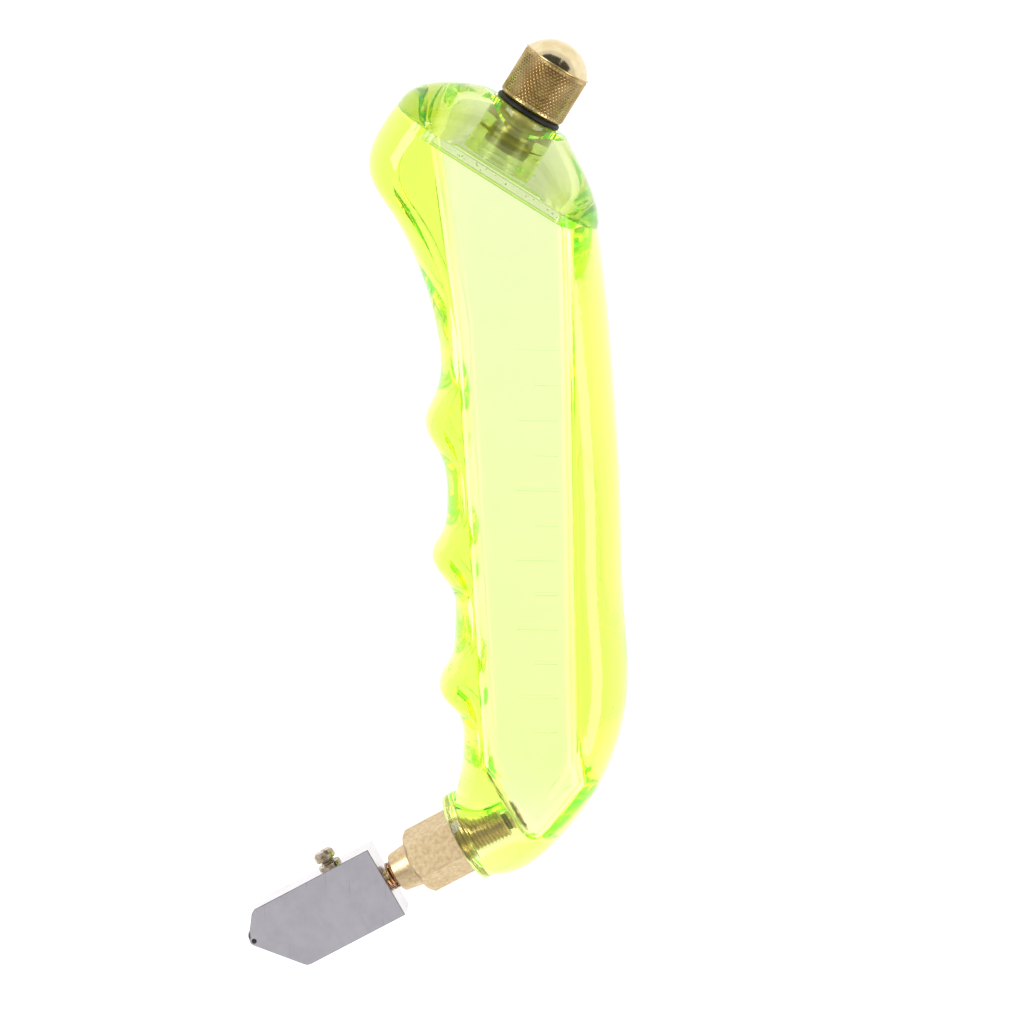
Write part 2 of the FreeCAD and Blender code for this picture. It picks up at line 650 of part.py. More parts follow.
def make_return_spring():
    """Compression spring between the connector's seat and the head."""
    low = SPRING_SEAT + SPRING_WIRE + SPRING_GAP
    high = HEAD_START - SPRING_WIRE - SPRING_GAP
    helix = Part.makeHelix(SPRING_PITCH, high - low, SPRING_COIL_RADIUS)
    start = Part.Circle(V(SPRING_COIL_RADIUS, 0, 0), V(0, 1, 0), SPRING_WIRE)
    wire = Part.Wire([start.toShape()])
    coil = Part.Wire(helix).makePipeShell([wire], True, True)
    return placed(coil.translated(V(0, 0, low)), STEM)


def head_outline():
    """Corners of the head in the stem frame, as (across, along), clockwise from the screw side."""
    pin_along, pin_across = WHEEL_PIN
    in_from_side, past_shoulder = SHOULDER_CHAMFER
    flank_across, flank_back = NOSE_FLANK
    outline = [
        (-HEAD_HALF_WIDTH, 0.0), (-HEAD_HALF_WIDTH, SHOULDER),
        (-HEAD_HALF_WIDTH + in_from_side, SHOULDER + past_shoulder),
        (pin_across - flank_across, pin_along - flank_back),
    ]
    outline += [(pin_across + across, pin_along + along) for across, along in NOSE_POINTS]
    outline += [(HEAD_HALF_WIDTH - inset, along) for inset, along in CHEEK_POINTS]
    outline.append((HEAD_HALF_WIDTH, 0.0))
    return [(across, HEAD_START + along) for across, along in outline]


def pin_frame():
    """Frame on the wheel pin: origin at its middle, Z along it."""
    pin_along, pin_across = WHEEL_PIN
    middle = STEM.multVec(V(pin_across, 0, HEAD_START + pin_along))
    return FreeCAD.Placement(middle, FreeCAD.Rotation())


def screw_frame():
    """Frame on the lock screw: origin on the head's narrow side, Z pointing out."""
    base = FreeCAD.Placement(V(-HEAD_HALF_WIDTH, 0, HEAD_START + SCREW_PLACE), FreeCAD.Rotation(V(0, 1, 0), -90))
    return STEM.multiply(base)


def make_cutter_head():
    """Ground steel head: stem socket, oil drilling, wheel slot, pin hole and tapped screw hole."""
    half = HEAD_THICKNESS / 2.0
    head = prism(head_outline(), -half, half)
    long_edges = [edge for edge in head.Edges if abs(edge.tangentAt(edge.FirstParameter).y) < 0.01]
    head = head.makeChamfer(HEAD_CHAMFER, long_edges)
    head = head.cut(rod(STEM_RADIUS + STEM_SOCKET_GAP, HEAD_START - PAST, STEM_SOCKET_END))
    pin_along, pin_across = WHEEL_PIN
    drill = oil_line(OIL_DRILL, STEM_SOCKET_END - OIL_DRILL, OIL_DRILL_END)
    slot_low = HEAD_START + pin_along - WHEEL_RADIUS - SLOT_CLEARANCE
    slot_front = pin_across - WHEEL_RADIUS - SLOT_REACH[0]
    slot_back = pin_across + WHEEL_RADIUS + SLOT_REACH[1]
    thickness = (-SLOT_WIDTH / 2, SLOT_WIDTH / 2)
    slot = block((slot_front, slot_back), thickness, (slot_low, slot_low + SLOT_LENGTH))
    head = placed(head.cut(drill).cut(slot), STEM)
    pin_hole = placed(rod(PIN_RADIUS + PIN_FIT, -HEAD_THICKNESS, HEAD_THICKNESS), pin_frame())
    tapped = placed(rod(SCREW_RADIUS + SCREW_FIT, -HEAD_HALF_WIDTH, TAPPED_DEPTH), screw_frame())
    return head.cut(pin_hole).cut(tapped)


def oil_line(radius, start_along, short_of_pin):
    """Slanting rod from the stem's axis towards the wheel."""
    pin_along, pin_across = WHEEL_PIN
    start = V(0, 0, start_along)
    end = V(pin_across, 0, HEAD_START + pin_along - short_of_pin)
    return Part.makeCylinder(radius, (end - start).Length, start, end - start)


def make_head_wick():
    """Cotton wick in the head's oil drilling."""
    return placed(oil_line(OIL_DRILL - WICK_FIT, STEM_SOCKET_END + WICK_START, WHEEL_RADIUS + WICK_END), STEM)


def make_cutting_wheel():
    """Carbide wheel with a keen V rim."""
    half = WHEEL_THICKNESS / 2.0
    return placed(turned([
        (WHEEL_BORE, -half), (WHEEL_RADIUS - WHEEL_BEVEL, -half), (WHEEL_RADIUS, 0),
        (WHEEL_RADIUS - WHEEL_BEVEL, half), (WHEEL_BORE, half),
    ]), pin_frame())


def make_wheel_axle():
    """Plain steel pin that the wheel turns on."""
    half = HEAD_THICKNESS / 2.0 - PIN_SINK
    pin = rod(PIN_RADIUS, -half, half)
    rims = [edge for edge in pin.Edges if edge.Closed]
    return placed(pin.makeChamfer(PIN_CHAMFER, rims), pin_frame())


def make_head_screw():
    """Slotted screw that holds the head on the stem and limits its swivel."""
    tip = SLOT_FLOOR + SCREW_TIP_GAP - HEAD_HALF_WIDTH
    neck = STEM_RADIUS + SCREW_THREAD_END - HEAD_HALF_WIDTH
    top = SCREW_STAND_OFF + SCREW_HEAD_HEIGHT
    root = SCREW_RADIUS - SCREW_THREAD_DEPTH
    shank = ridges(SCREW_RADIUS, root, neck, SCREW_STAND_OFF, SCREW_PITCH)
    dog = rod(SCREW_TIP_RADIUS, tip, neck)
    under, width, height = SCREW_ROUNDS
    head = turned([
        (0, SCREW_STAND_OFF), (SCREW_HEAD_RADIUS - under, SCREW_STAND_OFF),
        (SCREW_HEAD_RADIUS, SCREW_STAND_OFF + under), (SCREW_HEAD_RADIUS, top - height),
        (SCREW_HEAD_RADIUS - width, top), (0, top),
    ])
    slot_half, slot_depth = SCREW_SLOT
    slot_reach = SCREW_HEAD_RADIUS + PAST
    slot = block((-slot_half, slot_half), (-slot_reach, slot_reach), (top - slot_depth, top + PAST))
    slot.rotate(V(0, 0, 0), V(0, 0, 1), SCREW_SLOT_TURN)
    return placed(shank.fuse(dog).fuse(head).cut(slot).removeSplitter(), screw_frame())


def make_lock_washer():
    """Split spring washer under the lock screw."""
    inner, outer, thickness = LOCK_WASHER
    half_gap, turn = WASHER_GAP
    washer = ring(inner, outer, WASHER_LIFT, thickness)
    gap = block((0, outer + PAST), (-half_gap, half_gap), (-PAST, thickness + PAST))
    gap.rotate(V(0, 0, 0), V(0, 0, 1), turn)
    return placed(washer.cut(gap), screw_frame())


NODES = {
    "handle_body": make_handle_body,
    "top_cover": make_top_cover,
    "seam_bond": make_seam_bond,
    "filler_cap": make_filler_cap,
    "filler_cap_o_ring": make_filler_cap_o_ring,
    "connector": make_connector,
    "plunger_stem": make_plunger_stem,
    "valve_o_ring": make_valve_o_ring,
    "valve_disc": make_valve_disc,
    "valve_clip": make_valve_clip,
    "return_spring": make_return_spring,
    "cutter_head": make_cutter_head,
    "head_wick": make_head_wick,
    "cutting_wheel": make_cutting_wheel,
    "wheel_axle": make_wheel_axle,
    "head_screw": make_head_screw,
    "lock_washer": make_lock_washer,
}


def main():
    """Build every node and write it out."""
    os.makedirs("parts", exist_ok=True)
    for name, make in NODES.items():
        shape = make()
        solids = len(shape.Solids)
        print(name, "solids", solids, "valid", shape.isValid(), "volume", round(shape.Volume, 2))
        shape.exportStep("parts/" + name + ".step")


if __name__ == "__main__":
    main()
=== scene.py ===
"""Looks of a pistol-grip, oil-fed glass cutter lying on the flat side of its grip.

Metres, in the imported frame: +Z is up, +Y runs from the wheel end to the filler cap, and +X points to the
back of the grip.  The CAD parts stay as they are and get their finishes here; the filler cap and the
return spring are modelled again with their knurling, helical thread and coils.
"""

import json
import logging
import math
import random
from dataclasses import dataclass
from enum import Enum
from typing import Callable, Dict, List, Sequence, Tuple

import bmesh
import bpy
from mathutils import Matrix, Vector


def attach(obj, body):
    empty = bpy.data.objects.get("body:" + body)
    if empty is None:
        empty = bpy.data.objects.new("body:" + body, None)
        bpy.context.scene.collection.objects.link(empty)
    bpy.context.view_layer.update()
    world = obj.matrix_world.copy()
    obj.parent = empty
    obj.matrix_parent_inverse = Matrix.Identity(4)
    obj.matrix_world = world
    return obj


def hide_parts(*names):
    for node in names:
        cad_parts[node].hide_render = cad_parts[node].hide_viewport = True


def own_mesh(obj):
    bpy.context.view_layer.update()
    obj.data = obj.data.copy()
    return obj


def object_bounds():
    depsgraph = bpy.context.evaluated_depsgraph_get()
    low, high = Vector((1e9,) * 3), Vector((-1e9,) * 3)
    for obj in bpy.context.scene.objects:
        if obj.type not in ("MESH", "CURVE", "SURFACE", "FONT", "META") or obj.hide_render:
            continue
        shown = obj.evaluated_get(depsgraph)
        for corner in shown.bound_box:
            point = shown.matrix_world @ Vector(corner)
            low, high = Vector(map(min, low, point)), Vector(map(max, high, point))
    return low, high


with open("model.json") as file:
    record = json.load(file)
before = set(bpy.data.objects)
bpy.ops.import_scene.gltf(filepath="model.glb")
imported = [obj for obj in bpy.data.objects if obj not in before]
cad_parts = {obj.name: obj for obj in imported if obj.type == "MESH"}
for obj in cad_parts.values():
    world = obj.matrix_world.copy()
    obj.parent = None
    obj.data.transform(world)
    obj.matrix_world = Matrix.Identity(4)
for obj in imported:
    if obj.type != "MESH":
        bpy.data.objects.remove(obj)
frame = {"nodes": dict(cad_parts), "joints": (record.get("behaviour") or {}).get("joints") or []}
CAD_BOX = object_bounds()

MM = 0.001
HAIR = 0.02 * MM        # room for rounding, where a height or a radius is tested
FACING = 0.9            # cosine past which a face counts as square to an axis
UP = Vector((0.0, 0.0, 1.0))
LOG = logging.getLogger("glass_cutter")


# -------------------- frame lookups
def joint(name: str) -> Tuple[Vector, Vector]:
    """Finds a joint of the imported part.

    Args:
        name: The joint's name.

    Returns:
        The joint's place, which is the origin for a slide, and its unit axis.
    """
    for entry in frame["joints"]:
        if entry["name"] == name:
            return Vector(entry.get("pos_m", (0.0, 0.0, 0.0))), Vector(entry["axis"]).normalized()
    raise KeyError(name)


def reach(node: str, origin: Vector, axis: Vector) -> Tuple[float, float]:
    """Measures how far a CAD node reaches along an axis.

    Args:
        node: The CAD node's name.
        origin: Where the axis starts.
        axis: The axis's unit direction.

    Returns:
        The lowest and highest distance from the origin along the axis.
    """
    along = [(vertex.co - origin).dot(axis) for vertex in frame["nodes"][node].data.vertices]
    return min(along), max(along)


@dataclass(frozen=True)
class LocalFrame:
    """Right-handed frame on a turned part, with Z on the part's axis.

    Args:
        origin: The frame's origin.
        axis: The direction of local Z.
        side: The direction of local X, which is made square to Z.
    """

    origin: Vector
    axis: Vector
    side: Vector

    def matrix(self) -> Matrix:
        """Returns the matrix that takes local points to the part's frame."""
        z = self.axis.normalized()
        x = (self.side - z * self.side.dot(z)).normalized()
        turn = Matrix((x, z.cross(x), z)).transposed()
        return Matrix.Translation(self.origin) @ turn.to_4x4()

    def turn(self) -> Tuple[float, float, float]:
        """Returns the Euler angles that bring the part's frame onto this one, for a finish."""
        return tuple(self.matrix().to_3x3().inverted().to_euler())


def stem_frame() -> LocalFrame:
    """Returns the stem's frame, with its origin on the head's end face and Z out of the grip."""
    place, outward = joint("head_swivel")
    return LocalFrame(place, outward, UP)


# -------------------- node helpers
def linear(hex_colour: str) -> Tuple[float, float, float, float]:
    """Turns an sRGB colour to linear.

    Args:
        hex_colour: The colour as # and six hex digits.

    Returns:
        Linear red, green, blue and alpha.
    """
    parts = [int(hex_colour[i:i + 2], 16) / 255.0 for i in (1, 3, 5)]
    rgb = [c / 12.92 if c <= 0.04045 else ((c + 0.055) / 1.055) ** 2.4 for c in parts]
    return (rgb[0], rgb[1], rgb[2], 1.0)


def add(tree: bpy.types.NodeTree, kind: str, links: Dict[object, object] | None = None,
        inputs: Dict[object, object] | None = None, **settings: object) -> bpy.types.Node:
    """Adds one node with its settings and links.

    Args:
        tree: The node tree it goes in.
        kind: The node's type name.
        links: Input name or index, and the output socket that feeds it.
        inputs: Input name or index, and its plain value.
        settings: The node's own properties.

    Returns:
        The new node.
    """
    node = tree.nodes.new(kind)
    for name, value in settings.items():
        setattr(node, name, value)
    for key, value in (inputs or {}).items():
        node.inputs[key].default_value = value
    for key, socket in (links or {}).items():
        tree.links.new(socket, node.inputs[key])
    return node


def ramp(tree: bpy.types.NodeTree, factor: bpy.types.NodeSocket,
         stops: Sequence[Tuple[float, Tuple[float, float, float, float]]]) -> bpy.types.NodeSocket:
    """Adds a colour ramp.

    Args:
        tree: The node tree it goes in.
        factor: What drives it.
        stops: Places along the ramp and their linear colours.

    Returns:
        The ramp's colour output.
    """
    node = add(tree, "ShaderNodeValToRGB", {0: factor})
    elements = node.color_ramp.elements
    while len(elements) < len(stops):
        elements.new(0.5)
    for element, (place, colour) in zip(elements, stops):
        element.position = place
        element.color = colour
    return node.outputs["Color"]


def grey(value: float) -> Tuple[float, float, float, float]:
    """Returns a linear grey of a given brightness."""
    return (value, value, value, 1.0)


class Finish:
    """A material of this tool: its shader and the pattern that its making left.

    Args:
        name: The material's name.
        slot: The part's material slot that it is meant for; not used.
    """

    name: str = "finish"
    slot: str = ""

    def material(self) -> bpy.types.Material:
        """Makes the material, or returns the one already made."""
        made = bpy.data.materials.get(self.name)
        if made:
            return made
        made = bpy.data.materials.new(self.name)
        made.use_nodes = True
        tree = made.node_tree
        tree.nodes.clear()
        shader = add(tree, "ShaderNodeBsdfPrincipled")
        output = add(tree, "ShaderNodeOutputMaterial", {"Surface": shader.outputs[0]})
        self.dress(tree, shader, output)
        return made

    def dress(self, tree: bpy.types.NodeTree, shader: bpy.types.Node, output: bpy.types.Node) -> None:
        """Sets the shader's values and adds the pattern nodes.

        Args:
            tree: The material's node tree.
            shader: Its surface shader.
            output: Its output node.
        """
        raise NotImplementedError


def object_point(tree: bpy.types.NodeTree) -> bpy.types.NodeSocket:
    """Returns the object coordinates, in metres of the part's frame."""
    return add(tree, "ShaderNodeTexCoord").outputs["Object"]


def stretched(tree: bpy.types.NodeTree, turn: Tuple[float, float, float],
              sizes_mm: Tuple[float, float, float]) -> bpy.types.NodeSocket:
    """Returns object coordinates turned onto a part, with one unit to each of three real sizes.

    Args:
        tree: The node tree they go in.
        turn: Euler angles in radians that bring the part's frame onto the part.
        sizes_mm: The real length of one pattern unit along each turned axis.

    Returns:
        The vector socket.
    """
    turned = add(tree, "ShaderNodeMapping", {"Vector": object_point(tree)}, {"Rotation": turn})
    scale = tuple(1.0 / (size * MM) for size in sizes_mm)
    return add(tree, "ShaderNodeMapping", {"Vector": turned.outputs[0]}, {"Scale": scale}).outputs[0]


# -------------------- the finishes
@dataclass(frozen=True)
class LimeAcrylic(Finish):
    """Cast acrylic with a fluorescent lime dye, moulded and left polished.

    The dye takes out violet and a little red, so thin walls look pale and thick ones deep yellow-green.
    A painted green glow, emitted evenly through the volume whatever light falls on it, stands in for the
    dye's fluorescence; it gathers where the path through the plastic is long: the edges, the ledges of the
    grips and the seam.

    Args:
        name, slot: As in Finish.
        tint: What the surface lets through at each crossing.
        ior: Index of refraction.
        roughness: Roughness of the moulded skin.
        absorption: The colour that the dye leaves in the light on its way through.
        density_per_m: How strongly it is dyed.
        glow: The colour of the painted glow, which stands in for the dye's fluorescence.
        glow_per_m: How strong the painted glow is.
        flow_mm: Width of the waves that moulding flow left.
        flow_stretch: Their length in widths.
        flow_height_mm: Their height.
    """

    name: str = "lime_acrylic_moulded_gloss"
    slot: str = "lime_acrylic"
    tint: str = "#FDFFFA"
    ior: float = 1.49
    roughness: float = 0.035
    absorption: str = "#F9FF98"
    density_per_m: float = 130.0
    glow: str = "#50FF50"
    glow_per_m: float = 2.0
    flow_mm: float = 7.0
    flow_stretch: float = 2.2
    flow_height_mm: float = 0.012

    def dress(self, tree: bpy.types.NodeTree, shader: bpy.types.Node, output: bpy.types.Node) -> None:
        """Sets clear gloss plastic, its dyed depth, a painted green glow and the faint waviness of moulding
        flow.
        """
        shader.inputs["Base Color"].default_value = linear(self.tint)
        shader.inputs["Transmission Weight"].default_value = 1.0
        shader.inputs["IOR"].default_value = self.ior
        shader.inputs["Roughness"].default_value = self.roughness
        size = (self.flow_mm, self.flow_mm * self.flow_stretch, self.flow_mm)
        flow = add(tree, "ShaderNodeTexNoise", {"Vector": stretched(tree, (0.0, 0.0, 0.0), size)},
                   {"Scale": 1.0, "Detail": 1.5, "Roughness": 0.4})
        bump = add(tree, "ShaderNodeBump", {"Height": flow.outputs["Fac"]},
                   {"Strength": 1.0, "Distance": self.flow_height_mm * MM})
        tree.links.new(bump.outputs[0], shader.inputs["Normal"])
        depth = add(tree, "ShaderNodeVolumeAbsorption",
                    inputs={"Color": linear(self.absorption), "Density": self.density_per_m})
        # Painted glow: an even green emission in the volume, standing in for the dye's fluorescence.
        glow = add(tree, "ShaderNodeEmission",
                   inputs={"Color": linear(self.glow), "Strength": self.glow_per_m})
        both = add(tree, "ShaderNodeAddShader", {0: depth.outputs[0], 1: glow.outputs[0]})
        tree.links.new(both.outputs[0], output.inputs["Volume"])


@dataclass(frozen=True)
class ClearCement(Finish):
    """Solvent cement cured in the joint: clear, a little yellow and not quite smooth.

    Args:
        name, slot: As in Finish.
        tint: What the surface lets through at each crossing.
        ior: Index of refraction.
        roughness: Roughness of the cured skin.
        grain_mm: Width of the ripples in the skin.
        grain_height_mm: Their height.
    """

    name: str = "solvent_cement_cured"
    slot: str = "clear_cement"
    tint: str = "#D4EE90"
    ior: float = 1.46
    roughness: float = 0.08
    grain_mm: float = 0.5
    grain_height_mm: float = 0.03

    def dress(self, tree: bpy.types.NodeTree, shader: bpy.types.Node, output: bpy.types.Node) -> None:
        """Sets clear cement with the uneven skin of a squeezed joint."""
        shader.inputs["Base Color"].default_value = linear(self.tint)
        shader.inputs["Transmission Weight"].default_value = 1.0
        shader.inputs["IOR"].default_value = self.ior
        shader.inputs["Roughness"].default_value = self.roughness
        size = (self.grain_mm,) * 3
        grain = add(tree, "ShaderNodeTexNoise", {"Vector": stretched(tree, (0.0, 0.0, 0.0), size)},
                    {"Scale": 1.0, "Detail": 3.0})
        bump = add(tree, "ShaderNodeBump", {"Height": grain.outputs["Fac"]},
                   {"Strength": 1.0, "Distance": self.grain_height_mm * MM})
        tree.links.new(bump.outputs[0], shader.inputs["Normal"])


@dataclass(frozen=True)
class TrappedAir(Finish):
    """Air trapped in the cement: it bends light the other way, which gives a bright spot in a dark rim.

    Args:
        name, slot: As in Finish.
        ior: Index of refraction of air as seen from the cement.
        wall_mm: Size of the patches on a bubble's wall.
        haze: Roughness of the haziest patch.
    """

    name: str = "air_trapped_in_cement"
    slot: str = "clear_cement"
    ior: float = 0.68
    wall_mm: float = 0.4
    haze: float = 0.08

    def dress(self, tree: bpy.types.NodeTree, shader: bpy.types.Node, output: bpy.types.Node) -> None:
        """Sets an air bubble with a slightly uneven wall."""
        shader.inputs["Transmission Weight"].default_value = 1.0
        shader.inputs["IOR"].default_value = self.ior
        wall = add(tree, "ShaderNodeTexNoise",
                   {"Vector": stretched(tree, (0.0, 0.0, 0.0), (self.wall_mm,) * 3)}, {"Scale": 1.0})
        roughness = add(tree, "ShaderNodeMapRange", {"Value": wall.outputs["Fac"]},
                        {"To Min": 0.0, "To Max": self.haze})
        tree.links.new(roughness.outputs[0], shader.inputs["Roughness"])


@dataclass(frozen=True)
class TurnedMetal(Finish):
    """Bar stock turned on a lathe, which leaves fine rings round the part's axis.

    Real rings are too fine to show, so they are drawn as coarse as they need to be seen.

    Args:
        name, slot: As in Finish.
        colour: The bare metal.
        shade: The metal where handling has dulled it.
        turn: Euler angles that bring the part's frame onto the turned axis.
        roughness: Lowest and highest roughness, in the rings' valleys and on their crests.
        ring_mm: Distance between rings.
        ring_length_mm: How far a ring runs before it changes.
        ring_height_mm: Height of a ring.
        stain_mm: Size of the dulled patches.
    """

    name: str = "brass_turned"
    slot: str = "turned_brass"
    colour: str = "#D8C29B"
    shade: str = "#BFA47A"
    turn: Tuple[float, float, float] = (0.0, 0.0, 0.0)
    roughness: Tuple[float, float] = (0.2, 0.36)
    ring_mm: float = 0.16
    ring_length_mm: float = 40.0
    ring_height_mm: float = 0.004
    stain_mm: float = 3.0

    def dress(self, tree: bpy.types.NodeTree, shader: bpy.types.Node, output: bpy.types.Node) -> None:
        """Sets bare metal, its tool rings and the cloudy darkening of handling."""
        shader.inputs["Metallic"].default_value = 1.0
        rings = add(tree, "ShaderNodeTexNoise",
                    {"Vector": stretched(tree, self.turn,
                                         (self.ring_length_mm, self.ring_length_mm, self.ring_mm))},
                    {"Scale": 1.0, "Detail": 2.0, "Roughness": 0.6})
        stain = add(tree, "ShaderNodeTexNoise",
                    {"Vector": stretched(tree, self.turn, (self.stain_mm,) * 3)},
                    {"Scale": 1.0, "Detail": 4.0, "Roughness": 0.6})
        colour = ramp(tree, stain.outputs["Fac"],
                      [(0.3, linear(self.shade)), (0.62, linear(self.colour))])
        tree.links.new(colour, shader.inputs["Base Color"])
        rough = add(tree, "ShaderNodeMapRange", {"Value": rings.outputs["Fac"]},
                    {"From Min": 0.3, "From Max": 0.7,
                     "To Min": self.roughness[0], "To Max": self.roughness[1]})
        tree.links.new(rough.outputs[0], shader.inputs["Roughness"])
        bump = add(tree, "ShaderNodeBump", {"Height": rings.outputs["Fac"]},
                   {"Strength": 1.0, "Distance": self.ring_height_mm * MM})
        tree.links.new(bump.outputs[0], shader.inputs["Normal"])


@dataclass(frozen=True)
class GroundSteel(Finish):
    """Sintered steel block, surface ground: fine parallel lines across, with a few long scratches.

    Args:
        name, slot: As in Finish.
        colour: The ground metal.
        shade: Its darker clouds.
        scratch_colour: The floor of a scratch.
        turn: Euler angles that bring the part's frame onto the block.
        roughness: Lowest and highest roughness, between and on the grinding lines.
        line_mm: Width and length of a grinding line.
        line_height_mm: Height of a grinding line.
        cloud_mm: Size of the clouds.
        scratch_mm: Width, length and depth of the scratch pattern.
        scratch_turn: Angle between the scratches and the grinding lines, in radians.
    """

    name: str = "steel_surface_ground"
    slot: str = "ground_steel"
    colour: str = "#C9C6CD"
    shade: str = "#BFBBC3"
    scratch_colour: str = "#9C98A0"
    turn: Tuple[float, float, float] = (0.0, 0.0, 0.0)
    roughness: Tuple[float, float] = (0.35, 0.42)
    line_mm: Tuple[float, float] = (0.12, 9.0)
    line_height_mm: float = 0.0012
    cloud_mm: float = 4.0
    scratch_mm: Tuple[float, float, float] = (0.3, 12.0, 4.0)
    scratch_turn: float = 0.5

    def dress(self, tree: bpy.types.NodeTree, shader: bpy.types.Node, output: bpy.types.Node) -> None:
        """Sets grey steel with grinding lines, cloudy tone and scratches."""
        shader.inputs["Metallic"].default_value = 1.0
        width, length = self.line_mm
        lines = add(tree, "ShaderNodeTexNoise",
                    {"Vector": stretched(tree, self.turn, (width, length, length))},
                    {"Scale": 1.0, "Detail": 2.0})
        cloud = add(tree, "ShaderNodeTexNoise",
                    {"Vector": stretched(tree, self.turn, (self.cloud_mm,) * 3)},
                    {"Scale": 1.0, "Detail": 5.0, "Roughness": 0.65})
        crossed = (self.turn[0], self.turn[1], self.turn[2] + self.scratch_turn)
        scratches = add(tree, "ShaderNodeTexNoise",
                        {"Vector": stretched(tree, crossed, self.scratch_mm)},
                        {"Scale": 1.0, "Detail": 1.0})
        scratch = ramp(tree, scratches.outputs["Fac"], [(0.74, grey(0.0)), (0.78, grey(0.6))])
        tone = ramp(tree, cloud.outputs["Fac"], [(0.3, linear(self.shade)), (0.6, linear(self.colour))])
        marked = add(tree, "ShaderNodeMixRGB", {"Fac": scratch, "Color1": tone},
                     {"Color2": linear(self.scratch_colour)})
        tree.links.new(marked.outputs[0], shader.inputs["Base Color"])
        rough = add(tree, "ShaderNodeMapRange", {"Value": lines.outputs["Fac"]},
                    {"From Min": 0.3, "From Max": 0.7,
                     "To Min": self.roughness[0], "To Max": self.roughness[1]})
        tree.links.new(rough.outputs[0], shader.inputs["Roughness"])
        height = add(tree, "ShaderNodeMath", {0: lines.outputs["Fac"], 1: scratch}, operation="SUBTRACT")
        bump = add(tree, "ShaderNodeBump", {"Height": height.outputs[0]},
                   {"Strength": 1.0, "Distance": self.line_height_mm * MM})
        tree.links.new(bump.outputs[0], shader.inputs["Normal"])


@dataclass(frozen=True)
class Rubber(Finish):
    """Moulded nitrile rubber: near black, with a faint dusty bloom.

    Args:
        name, slot: As in Finish.
        colour: The clean rubber.
        bloom: The rubber under its bloom.
        bloom_mm: Size of the bloom's patches.
        roughness: Roughness of the moulded skin.
        specular: Strength of its reflection.
    """

    name: str = "nitrile_rubber_moulded"
    slot: str = "nitrile_rubber"
    colour: str = "#0B0C0A"
    bloom: str = "#181A17"
    bloom_mm: float = 1.2
    roughness: float = 0.5
    specular: float = 0.3

    def dress(self, tree: bpy.types.NodeTree, shader: bpy.types.Node, output: bpy.types.Node) -> None:
        """Sets soft black rubber with patches of bloom."""
        bloom = add(tree, "ShaderNodeTexNoise",
                    {"Vector": stretched(tree, (0.0, 0.0, 0.0), (self.bloom_mm,) * 3)},
                    {"Scale": 1.0, "Detail": 4.0})
        colour = ramp(tree, bloom.outputs["Fac"], [(0.4, linear(self.colour)), (0.75, linear(self.bloom))])
        tree.links.new(colour, shader.inputs["Base Color"])
        shader.inputs["Roughness"].default_value = self.roughness
        shader.inputs["Specular IOR Level"].default_value = self.specular


@dataclass(frozen=True)
class Cotton(Finish):
    """Twisted cotton wick, soaked with cutting oil: dull, with slanting strands.

    Args:
        name, slot: As in Finish.
        colour: The yarn.
        shade: The hollows between strands.
        strand_mm: Width and length of a strand.
        lay: Euler angles that the strands lie at.
        roughness: Roughness of the yarn.
    """

    name: str = "cotton_wick_oiled"
    slot: str = "cotton_wick"
    colour: str = "#CFC7AE"
    shade: str = "#A39B80"
    strand_mm: Tuple[float, float] = (0.2, 0.8)
    lay: Tuple[float, float, float] = (0.4, 0.0, 0.6)
    roughness: float = 0.85

    def dress(self, tree: bpy.types.NodeTree, shader: bpy.types.Node, output: bpy.types.Node) -> None:
        """Sets dull twisted yarn."""
        width, length = self.strand_mm
        twist = add(tree, "ShaderNodeTexNoise",
                    {"Vector": stretched(tree, self.lay, (width, length, width))}, {"Scale": 1.0})
        colour = ramp(tree, twist.outputs["Fac"], [(0.35, linear(self.shade)), (0.65, linear(self.colour))])
        tree.links.new(colour, shader.inputs["Base Color"])
        shader.inputs["Roughness"].default_value = self.roughness


# -------------------- bench and tools
class Pick(Enum):
    """What a selection in edit mode picks."""

    VERTEX = "VERT"
    EDGE = "EDGE"
    FACE = "FACE"


